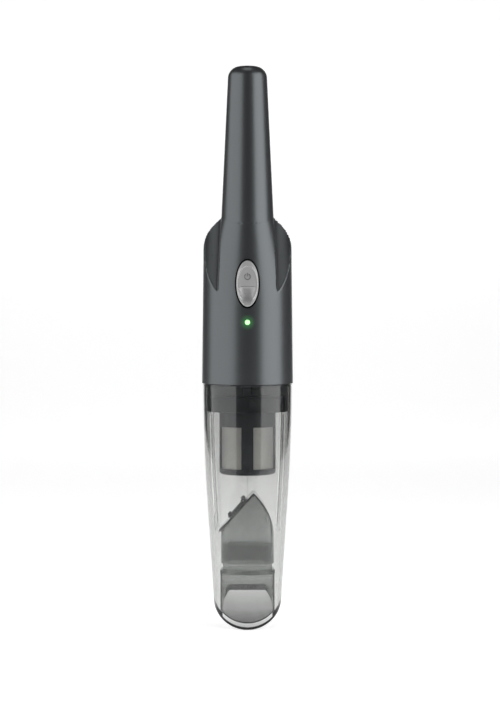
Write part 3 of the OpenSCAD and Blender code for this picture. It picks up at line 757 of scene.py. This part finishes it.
def on_flap(piece):
    """Moves a piece built about the frame's origin onto the flap's hinge, turned down the slant."""
    turn = Matrix.Rotation(-math.atan(SLANT), 4, "Y")
    there = Matrix.Translation(Vector(place([(FLAP_X, 0, FLAP_Z)])[0]))
    piece.data.transform(there @ turn)
    return piece


def make_flap():
    """A rubber flap with a round free end, a stiffening bar and its hinge barrel."""
    middle = sum(FLAP_Y) / 2
    half = (FLAP_Y[1] - FLAP_Y[0]) / 2
    turns = np.linspace(0, math.pi, 40)
    end = [(-18.6 + half - half * math.sin(a), middle + half * math.cos(a)) for a in turns]
    outline = [(-0.2, FLAP_Y[1]), *end, (-0.2, FLAP_Y[0])]
    plate = prism(outline, GRIP_Z - 1.4, GRIP_Z - 0.5, name="flap_leaf")
    barrel = rod(1.45, (0, FLAP_Y[0], GRIP_Z), (0, FLAP_Y[1], GRIP_Z), edge=0.15)
    bar_outline = rounded(-17.0, -14.4, middle - half + 4, middle + half - 4, 1.0)
    stiffener = prism(bar_outline, GRIP_Z - 1.4, GRIP_Z + 1.2)
    fuse(plate, barrel, stiffener)
    cut(plate, rod(0.76, (0, -40, GRIP_Z), (0, 40, GRIP_Z)))
    return soften(on_flap(plate))


# ---------------------------------------------------------------- filter and its seat
def notches():
    """Cutters for the gaps that pass the container's six ribs."""
    tools = []
    for k in range(RIBS):
        tool = prism([(-1, -45), (1, -45), (1, -31.2), (-1, -31.2)], 171.4, 200.0)
        tool.data.transform(Matrix.Rotation(math.radians(360 / RIBS * k), 4, "Z"))
        tools.append(tool)
    return tools


def make_cage():
    quarter = np.linspace(0, math.pi / 2, 10)
    round_foot = [(22.5 - 3 + 3 * math.sin(a), 125 - 3 * math.cos(a)) for a in quarter]
    profile = [
        (0, 122), *round_foot, (22.5, 172.4), (31.9, 172.4), (32.4, 172.9), (32.4, 184.3), (32.1, 184.6),
        (30.9, 184.6), (30.6, 184.3), (30.6, 174.4), (23.6, 174.4), (23.6, 195.0), (23.4, 195.2),
        (22.2, 195.2), (22.0, 195.0), (22.0, 173.4), (20.9, 172.4), (20.9, 124), (0, 124),
    ]
    piece = turned(profile, "filter_cage", 144)
    windows = []
    for k in range(4):
        middle = math.radians(45 + 90 * k)
        arc = np.radians(np.linspace(-33, 33, 9))
        far = [(60 * math.cos(middle + a), 60 * math.sin(middle + a)) for a in arc]
        near = [(16 * math.cos(middle + a), 16 * math.sin(middle + a)) for a in arc[::-1]]
        windows.append(prism([*far, *near], 126.8, 160.4))
    cut(piece, *windows, *notches())
    return soften(piece)


def make_screen():
    return soften(tube(20.3, 20.8, 124.4, 162, "wire_screen", 0.1))


def make_paper():
    """Folded paper: rounded pleats run round the core."""
    count, steps = 28, 12
    outer, inner = [], []
    for k in range(count * steps):
        a = 2 * math.pi * k / (count * steps)
        fold = 0.5 + 0.5 * math.cos(count * a)
        swing = fold**0.8
        outer.append(((14.6 + 4.8 * swing) * math.cos(a), (14.6 + 4.8 * swing) * math.sin(a)))
        inner.append(((13.9 + 4.7 * swing) * math.cos(a), (13.9 + 4.7 * swing) * math.sin(a)))
    return soften(cut(prism(outer, 126, 168, name="paper_pleats"), prism(inner, 120, 175)), 60)


def make_gasket():
    piece = tube(30.8, 32.6, 184.65, 185.7, "flange_gasket", 0.3)
    return soften(cut(piece, *notches()))


def make_seat():
    """The motor frame: a plate with a grille, a skirt that the filter stands against and a tube for it."""
    piece = turned(
        [
            (0, 196), (23.8, 196), (23.8, 186.0), (24.0, 185.8), (25.2, 185.8), (25.4, 186.0), (25.4, 196),
            (30.8, 196), (30.8, 186.1), (31.1, 185.8), (32.1, 185.8), (32.4, 186.1), (32.4, 192.0),
            (31.8, 192.0), (31.8, 194.7), (32.4, 194.7), (32.4, 196), (33.5, 196), (33.8, 196.3),
            (33.8, 198.1), (33.5, 198.4), (0, 198.4),
        ],
        "seat_plate",
    )
    lug = prism(rounded(-3, 3, -34.1, -31.4, 0.6), 186.5, 191.5)
    fuse(piece, lug)
    grille = []
    for r in (7.0, 11.2, 15.4, 19.6):
        slot = tube(r, r + 3, 194, 200, edge=0)
        for a in (0, 60, 120):
            arm = prism([(-60, -0.9), (60, -0.9), (60, 0.9), (-60, 0.9)], 190, 205)
            arm.data.transform(Matrix.Rotation(math.radians(a), 4, "Z"))
            cut(slot, arm)
        grille.append(slot)
    grille.append(prism(ellipse(5.6, 5.6, 0), 194, 200))
    grille.append(prism(rounded(-5.2, 5.2, 25.9, 31.2, 0.5), 195, 200))
    grille.append(prism(rounded(-5.2, 5.2, 29, 35, 0.5), 185, 191.2))
    cut(piece, *grille)
    return soften(piece)


def make_seal():
    return soften(tube(31.85, 33.0, 192.1, 194.6, "seat_seal", 0.35))


def make_release():
    """The release lever: a grooved pad behind the rear cover's window, its leg and its hook."""
    levels = np.linspace(207, 223, 9)
    skin = [(float(BODY_R - BODY_TAPER * (z - BODY_LOW)) - 0.15, float(z)) for z in levels]
    face = [(r - 0.8 * (k in (0, 8)), z) for k, (r, z) in enumerate(skin)]
    body = turned([(0, 207), *face, (0, 223)], "release_pad", 180)
    keep(body, prism(rounded(-8, 8, 207, 223, 1.0), PIVOT_Y + 1.4, 40, "y"))
    leg = prism(rounded(-4.5, 4.5, 186.4, 223.9, 0.8), PIVOT_Y - 1.4, PIVOT_Y + 0.4, "y")
    web = prism(rounded(-4.5, 4.5, 208, 222, 0.5), PIVOT_Y, PIVOT_Y + 2, "y")
    tip = [(30, 187), (32.6, 187), (34.3, 189), (34.3, 190.2), (34.1, 190.4), (30, 190.4)]
    hook = prism(tip, -4.5, 4.5, "x")
    knuckles = []
    for x in (-3.8, 3.8):
        knuckles.append(rod(2.7, (x - 1.4, PIVOT_Y, PIVOT_Z), (x + 1.4, PIVOT_Y, PIVOT_Z), edge=0.2))
    fuse(body, web, leg, hook, *knuckles)
    grooves = [prism(rounded(-5.5, 5.5, z, z + 1, 0.45), 35.2, 40, "y") for z in (210, 213, 216, 219)]
    cut(body, rod(1.26, (-10, PIVOT_Y, PIVOT_Z), (10, PIVOT_Y, PIVOT_Z)), *grooves)
    return soften(body)


# ---------------------------------------------------------------- materials
def linear(r, g, b):
    """A display colour of 0 to 255 as linear values."""
    parts = [c / 255 for c in (r, g, b)]
    return (*[c / 12.92 if c <= 0.04045 else ((c + 0.055) / 1.055) ** 2.4 for c in parts], 1.0)


def shader(name, **values):
    """A new material with one Principled shader and these socket values."""
    material = bpy.data.materials.new(name)
    material.use_nodes = True
    nodes = material.node_tree.nodes
    principled = nodes["Principled BSDF"]
    for key, value in values.items():
        principled.inputs[key.replace("_", " ")].default_value = value
    return material, nodes, material.node_tree.links, principled


def texture(nodes, links, kind, scale, stretch=(1, 1, 1), **settings):
    """A procedural texture on the piece's own coordinates, in metres."""
    where = nodes.new("ShaderNodeTexCoord")
    spread = nodes.new("ShaderNodeMapping")
    spread.inputs["Scale"].default_value = stretch
    links.new(where.outputs["Object"], spread.inputs["Vector"])
    node = nodes.new(f"ShaderNodeTex{kind}")
    links.new(spread.outputs["Vector"], node.inputs["Vector"])
    node.inputs["Scale"].default_value = scale
    for key, value in settings.items():
        node.inputs[key].default_value = value
    return node


def ramp_between(nodes, links, source, low, high, start=0.3, end=0.7):
    """A colour that runs from low to high as the source does from start to end."""
    node = nodes.new("ShaderNodeValToRGB")
    node.color_ramp.elements[0].position = start
    node.color_ramp.elements[1].position = end
    node.color_ramp.elements[0].color = low
    node.color_ramp.elements[1].color = high
    links.new(source, node.inputs["Fac"])
    return node


def grey(value):
    return (value, value, value, 1.0)


def plastic(name, low, high, roughness=0.45, metallic=0.0, grain=2200.0, bump=0.06, stretch=(1, 1, 1)):
    """A moulded, cast or drawn surface: fine grain in its colour, gloss and relief."""
    material, nodes, links, principled = shader(name, Metallic=metallic)
    noise = texture(nodes, links, "Noise", grain, stretch, Detail=3.0)
    colour = ramp_between(nodes, links, noise.outputs["Fac"], low, high)
    links.new(colour.outputs["Color"], principled.inputs["Base Color"])
    gloss = ramp_between(nodes, links, noise.outputs["Fac"], grey(roughness - 0.04), grey(roughness + 0.05))
    links.new(gloss.outputs["Color"], principled.inputs["Roughness"])
    relief = nodes.new("ShaderNodeBump")
    relief.inputs["Strength"].default_value = bump
    relief.inputs["Distance"].default_value = 0.0001
    links.new(noise.outputs["Fac"], relief.inputs["Height"])
    links.new(relief.outputs["Normal"], principled.inputs["Normal"])
    return material


RAMP_TOP = 200.0


def painted_shade_ramp(nodes, links, stops):
    """Painted shade: a grey that runs through (height above the nozzle tip in millimetres, value) stops."""
    where = nodes.new("ShaderNodeTexCoord")
    split = nodes.new("ShaderNodeSeparateXYZ")
    links.new(where.outputs["Object"], split.inputs["Vector"])
    spread = nodes.new("ShaderNodeMapRange")
    spread.inputs["From Min"].default_value = -GRIP_Z * MM
    spread.inputs["From Max"].default_value = (RAMP_TOP - GRIP_Z) * MM
    links.new(split.outputs["Z"], spread.inputs["Value"])
    node = nodes.new("ShaderNodeValToRGB")
    links.new(spread.outputs["Result"], node.inputs["Fac"])
    points = node.color_ramp.elements
    for point, (height, value) in zip(points, (stops[0], stops[-1])):
        point.position = height / RAMP_TOP
        point.color = grey(value)
    for height, value in stops[1:-1]:
        points.new(height / RAMP_TOP).color = grey(value)
    return node


def clear(name, tint, density, roughness, stops, ior=1.46):
    """Clear plastic that darkens with its thickness, with shade painted into its colour: darker towards some
    heights.
    """
    material, nodes, links, principled = shader(name, Transmission_Weight=1.0, IOR=ior)
    shade = painted_shade_ramp(nodes, links, stops)
    # the base colour is painted shade, darker at some heights
    links.new(shade.outputs["Color"], principled.inputs["Base Color"])
    noise = texture(nodes, links, "Noise", 260.0, Detail=2.0)
    gloss = ramp_between(nodes, links, noise.outputs["Fac"], grey(roughness), grey(roughness + 0.03))
    links.new(gloss.outputs["Color"], principled.inputs["Roughness"])
    depth = nodes.new("ShaderNodeVolumeAbsorption")
    depth.inputs["Color"].default_value = tint
    depth.inputs["Density"].default_value = density
    links.new(depth.outputs["Volume"], nodes["Material Output"].inputs["Volume"])
    return material


def see_through_weave(name, cells_round, cells_up):
    """Woven wire: crossing bright strands with holes between them."""
    material, nodes, links, principled = shader(name, Metallic=0.4, Roughness=0.4)
    where = nodes.new("ShaderNodeTexCoord")
    split = nodes.new("ShaderNodeSeparateXYZ")
    links.new(where.outputs["Object"], split.inputs["Vector"])
    turn = nodes.new("ShaderNodeMath")
    turn.operation = "ARCTAN2"
    links.new(split.outputs["Y"], turn.inputs[0])
    links.new(split.outputs["X"], turn.inputs[1])
    strands = []
    for source, scale in ((turn.outputs[0], cells_round), (split.outputs["Z"], cells_up)):
        spread = nodes.new("ShaderNodeMath")
        spread.operation = "MULTIPLY"
        spread.inputs[1].default_value = scale
        links.new(source, spread.inputs[0])
        wave = nodes.new("ShaderNodeMath")
        wave.operation = "SINE"
        links.new(spread.outputs[0], wave.inputs[0])
        strands.append(wave)
    top = nodes.new("ShaderNodeMath")
    top.operation = "MAXIMUM"
    links.new(strands[0].outputs[0], top.inputs[0])
    links.new(strands[1].outputs[0], top.inputs[1])
    dull, bright = linear(176, 174, 170), linear(250, 248, 244)
    colour = ramp_between(nodes, links, top.outputs[0], dull, bright, 0.2, 0.9)
    links.new(colour.outputs["Color"], principled.inputs["Base Color"])
    hole = ramp_between(nodes, links, top.outputs[0], grey(0.55), grey(1.0), 0.0, 0.5)
    links.new(hole.outputs["Color"], principled.inputs["Alpha"])
    relief = nodes.new("ShaderNodeBump")
    relief.inputs["Strength"].default_value = 0.5
    relief.inputs["Distance"].default_value = 0.0002
    links.new(top.outputs[0], relief.inputs["Height"])
    links.new(relief.outputs["Normal"], principled.inputs["Normal"])
    return material


def satin_paint_with_painted_glow():
    """Satin paint, with a green glow painted round the lens as emission: painted light."""
    dark, light = (0.094, 0.101, 0.105, 1), (0.106, 0.114, 0.118, 1)
    material = plastic("satin_grey", dark, light, 0.33, 0.82, 4200.0, 0.03)
    nodes, links = material.node_tree.nodes, material.node_tree.links
    principled = nodes["Principled BSDF"]
    where = nodes.new("ShaderNodeTexCoord")
    away = nodes.new("ShaderNodeVectorMath")
    away.operation = "DISTANCE"
    away.inputs[1].default_value = place([(0, -35.9, LED_Z)])[0]
    links.new(where.outputs["Object"], away.inputs[0])
    spread = nodes.new("ShaderNodeMapRange")
    spread.interpolation_type = "SMOOTHSTEP"
    spread.inputs["From Min"].default_value = 0.0016
    spread.inputs["From Max"].default_value = 0.0068
    spread.inputs["To Min"].default_value = 1.0
    spread.inputs["To Max"].default_value = 0.0
    links.new(away.outputs["Value"], spread.inputs["Value"])
    # painted light: green emission on the housing, fading out a few millimetres from the lens
    glow = ramp_between(nodes, links, spread.outputs["Result"], grey(0.0), (0.012, 0.11, 0.022, 1), 0.0, 1.0)
    links.new(glow.outputs["Color"], principled.inputs["Emission Color"])
    principled.inputs["Emission Strength"].default_value = 1.0
    return material


def glowing(name, colour, strength):
    material = plastic(name, colour, colour, 0.3, grain=900.0, bump=0.02)
    principled = material.node_tree.nodes["Principled BSDF"]
    principled.inputs["Emission Color"].default_value = colour
    principled.inputs["Emission Strength"].default_value = strength
    return material


# ---------------------------------------------------------------- finishes
# Heights in millimetres above the nozzle tip, each with the grey painted into the clear plastic's colour
# there: painted shade, darker at the cup's tip and upper band, round the throat's nose and at some heights of
# the duct
CUP_PAINTED_SHADE = [(0, 0.60), (7, 0.72), (16, 0.98), (84, 0.98), (115, 0.92), (150, 0.77), (196, 0.77)]
THROAT_PAINTED_SHADE = [(0, 0.22), (12, 0.30), (30, 0.62), (36, 0.76), (66, 0.80)]
DUCT_PAINTED_SHADE = [(0, 0.86), (64, 0.74), (71, 0.88), (80, 0.86), (109, 0.74)]
COPPER = (linear(176, 92, 44), linear(206, 124, 70))
PAPER = (linear(222, 219, 208), linear(238, 235, 226))

finish = {
    "housing": satin_paint_with_painted_glow(),
    "screws": plastic("screw_steel", grey(0.40), grey(0.50), 0.30, 1.0, 2600.0, 0.08),
    "light_lens": glowing("green_lens", linear(185, 255, 175), 0.9),
    "inner_frame": plastic("frame_grey", linear(76, 79, 82), linear(86, 89, 92), 0.36, 0.0, 3000.0, 0.05),
    "seal_rubber": plastic("seal_grey", linear(92, 95, 99), linear(102, 105, 109), 0.60, 0.0, 1600.0, 0.15),
    "motor_steel": plastic("drawn_steel", grey(0.42), grey(0.52), 0.28, 1.0, 900.0, 0.1, (1, 1, 12)),
    "magnet": plastic("ferrite", grey(0.045), grey(0.07), 0.55, 0.2, 1800.0, 0.12),
    "bronze": plastic("sintered_bronze", linear(150, 108, 52), linear(178, 134, 76), 0.42, 1.0, 2600.0, 0.2),
    "carbon": plastic("brush_carbon", grey(0.02), grey(0.035), 0.6, 0.0, 2800.0, 0.2),
    "end_cap": plastic("cap_cream", linear(214, 210, 198), linear(230, 227, 217), 0.5, 0.0, 1500.0, 0.05),
    "tabs": plastic("tab_brass", linear(196, 158, 70), linear(212, 176, 92), 0.3, 1.0, 1500.0, 0.06),
    "board": plastic("board_green", linear(20, 78, 48), linear(34, 104, 66), 0.38, 0.0, 520.0, 0.05),
    "chips": plastic("chip_black", linear(28, 29, 31), linear(40, 41, 43), 0.5, 0.0, 2000.0, 0.1),
    "light": glowing("led_green", linear(190, 255, 196), 3.0),
    "cells": plastic("cell_sleeve", linear(48, 92, 152), linear(58, 106, 170), 0.32, 0.0, 300.0, 0.03),
    "nickel": plastic("nickel", grey(0.5), grey(0.6), 0.3, 1.0, 1200.0, 0.06),
    "red_wire": plastic("red_sleeve", linear(168, 26, 22), linear(192, 40, 34), 0.42, 0.0, 900.0, 0.05),
    "black_wire": plastic("black_sleeve", linear(26, 27, 28), linear(38, 39, 40), 0.42, 0.0, 900.0, 0.05),
    "grey_wire": plastic("grey_sleeve", linear(190, 190, 186), linear(214, 214, 210), 0.42, 0.0, 900.0, 0.05),
    "socket": plastic("socket_black", linear(18, 19, 20), linear(28, 29, 30), 0.46, 0.0, 1800.0, 0.08),
    "foam": plastic("filter_foam", linear(28, 28, 28), linear(58, 58, 58), 0.9, 0.0, 1100.0, 0.9),
    "spring_steel": plastic("spring_wire", grey(0.45), grey(0.58), 0.22, 1.0, 2400.0, 0.04),
    "button": plastic("brushed_silver", grey(0.38), grey(0.48), 0.36, 0.3, 1500.0, 0.10, (0.6, 9, 9)),
    "button_ring": plastic("polished_ring", grey(0.44), grey(0.54), 0.30, 0.3, 1500.0, 0.03),
    "button_mark": plastic("mark_grey", grey(0.16), grey(0.20), 0.42, 0.3, 1500.0, 0.04),
    "release": plastic("release_grey", grey(0.13), grey(0.15), 0.40, 0.4, 3600.0, 0.04),
    "fan": plastic("fan_white", linear(208, 208, 203), linear(224, 224, 220), 0.45, 0.0, 1500.0, 0.04),
    "copper": plastic("winding_copper", *COPPER, 0.34, 1.0, 2200.0, 0.5, (1, 1, 5)),
    "clear_grey": clear("clear_cup_plastic", (0.56, 0.575, 0.555, 1), 205.0, 0.02, CUP_PAINTED_SHADE, 1.42),
    "clear_throat": clear("clear_throat_plastic", (0.50, 0.53, 0.50, 1), 330.0, 0.04, THROAT_PAINTED_SHADE),
    "clear_grey_duct": clear("clear_duct_plastic", (0.45, 0.48, 0.46, 1), 520.0, 0.07, DUCT_PAINTED_SHADE),
    "flap_rubber": plastic("flap_rubber", linear(34, 36, 38), linear(46, 48, 50), 0.66, 0.0, 1300.0, 0.15),
    "filter_plastic": plastic("cage_grey", linear(69, 72, 76), linear(79, 82, 86), 0.45, 0.0, 2600.0, 0.06),
    "mesh": see_through_weave("wire_weave", 150.0, 7200.0),
    "filter_paper": plastic("pleated_paper", *PAPER, 0.9, 0.0, 1800.0, 0.3),
    "filter_caps": plastic("cap_blue", linear(52, 98, 158), linear(64, 112, 174), 0.5, 0.0, 1600.0, 0.06),
}

wear(make_front_shell(), "housing", "housing", finish["housing"], "front_cover")
wear(make_rear_shell(), "housing", "housing", finish["housing"], "rear_cover")
wear(make_screws(), "housing", "screws", finish["screws"], "cover_screws")
wear(make_lens(), "housing", "light_lens", finish["light_lens"], "led_lens")
wear(make_seat(), "housing", "inner_frame", finish["inner_frame"], "motor_frame")
wear(make_seal(), "housing", "seal_rubber", finish["seal_rubber"], "frame_seal")
button = wear(make_button(), "power_button", "button", finish["button"], "button_cap")
# the socket's black on the skirt below the face is painted shade in the well round the key
finish_button(button, finish["button_ring"], finish["socket"], finish["button_mark"])
wear(make_release(), "release_lever", "release", finish["release"], "release_button")
wear(make_cup(), "dust_container", "clear_grey", finish["clear_grey"], "container_shell")
wear(make_throat(), "dust_container", "clear_grey", finish["clear_throat"], "nozzle_throat")
wear(make_duct(), "dust_container", "clear_grey_duct", finish["clear_grey_duct"], "inlet_duct")
wear(make_flap(), "flap", "flap_rubber", finish["flap_rubber"], "flap_valve")
wear(make_cage(), "filter", "filter_plastic", finish["filter_plastic"], "filter_frame")
wear(make_gasket(), "filter", "seal_rubber", finish["seal_rubber"], "filter_gasket")
wear(make_screen(), "filter", "mesh", finish["mesh"], "filter_mesh")
wear(make_paper(), "filter", "filter_paper", finish["filter_paper"], "pleated_filter")

CARRIED = {
    "inner_frame": ("fan_housing", "motor_cradle", "battery_cradle"),
    "motor_steel": ("motor_can", "motor_shaft", "armature_core", "flap_pin", "latch_pin"),
    "magnet": ("motor_magnets",),
    "bronze": ("motor_bushes",),
    "carbon": ("motor_brushes",),
    "end_cap": ("motor_end_cap",),
    "tabs": ("motor_terminals",),
    "screws": ("motor_screws", "board_screws"),
    "seal_rubber": ("motor_damper",),
    "board": ("circuit_board",),
    "chips": ("board_components", "push_switch", "switch_plunger"),
    "light": ("status_led",),
    "cells": ("battery_cells",),
    "nickel": ("battery_tabs", "charge_pin"),
    "red_wire": ("battery_leads",),
    "black_wire": ("charge_leads",),
    "grey_wire": ("motor_leads",),
    "socket": ("charge_socket",),
    "foam": ("exhaust_filter",),
    "spring_steel": ("latch_spring",),
    "fan": ("impeller",),
    "copper": ("armature_windings", "commutator"),
    "filter_caps": ("filter_end_caps",),
}
for key, names in CARRIED.items():
    for name in names:
        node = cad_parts[name]
        node.data.materials.clear()
        node.data.materials.append(finish[key])

# ---------------------------------------------------------------- studio
# In metres, in the row's frame
FLOOR_HALF = 1.0
FLOOR_FRONT = -0.6
SWEEP_Y = 2.0
SWEEP_R = 0.5
SWEEP_TOP = 1.6
AIM = Vector((0, 0, -0.12))
EYE = Vector((0.002, -1.8, -0.104))
LOOK_AT = Vector((0.002, 0, -0.1662))


def make_sweep():
    """A pale floor that curves up behind the object."""
    line = [(FLOOR_FRONT, 0)]
    for a in np.linspace(0, math.pi / 2, 14):
        line.append((SWEEP_Y + SWEEP_R * math.sin(a), SWEEP_R - SWEEP_R * math.cos(a)))
    line.append((SWEEP_Y + SWEEP_R, SWEEP_TOP))
    ground = -GRIP_Z * MM - 0.0005
    points = [(x, y, z + ground) for y, z in line for x in (-FLOOR_HALF, FLOOR_HALF)]
    faces = [(2 * k, 2 * k + 1, 2 * k + 3, 2 * k + 2) for k in range(len(line) - 1)]
    mesh = bpy.data.meshes.new("floor")
    mesh.from_pydata(points, [], faces)
    mesh.shade_smooth()
    floor = bpy.data.objects.new("floor", mesh)
    bpy.context.scene.collection.objects.link(floor)
    material = plastic("studio_white", grey(0.86), grey(0.88), 0.6, grain=40.0, bump=0.0)
    principled = material.node_tree.nodes["Principled BSDF"]
    principled.inputs["Emission Color"].default_value = grey(1.0)
    principled.inputs["Emission Strength"].default_value = 0.61
    mesh.materials.append(material)


def add_softbox(name, spot, size, power):
    """A rectangular light that faces the middle of the object."""
    lamp = bpy.data.lights.new(name, "AREA")
    lamp.shape = "RECTANGLE"
    lamp.size, lamp.size_y = size
    lamp.energy = power
    box = bpy.data.objects.new(name, lamp)
    box.location = spot
    box.rotation_euler = (AIM - Vector(spot)).to_track_quat("-Z", "Y").to_euler()
    bpy.context.scene.collection.objects.link(box)


make_sweep()
add_softbox("softbox_left", (-1.05, -0.38, 0.0), (1.95, 1.7), 17.5)
add_softbox("softbox_right", (1.02, -0.47, 0.0), (1.3, 1.7), 17.0)
add_softbox("top_light", (0, -0.1, 1.5), (0.8, 0.8), 3.0)

world = bpy.data.worlds.new("studio")
bpy.context.scene.world = world
world.use_nodes = True
background = world.node_tree.nodes["Background"]
background.inputs["Color"].default_value = grey(1.0)
background.inputs["Strength"].default_value = 0.07
bpy.context.scene.view_settings.view_transform = "Standard"

# The front view, 1.8 m off at about the height of the power button
lens = bpy.data.cameras.new("view")
lens.sensor_fit = "VERTICAL"
lens.sensor_height = 24.0
lens.lens = 75.4
camera = bpy.data.objects.new("view", lens)
camera.location = EYE
camera.rotation_euler = (LOOK_AT - EYE).to_track_quat("-Z", "Y").to_euler()
bpy.context.scene.collection.objects.link(camera)
bpy.context.scene.camera = camera
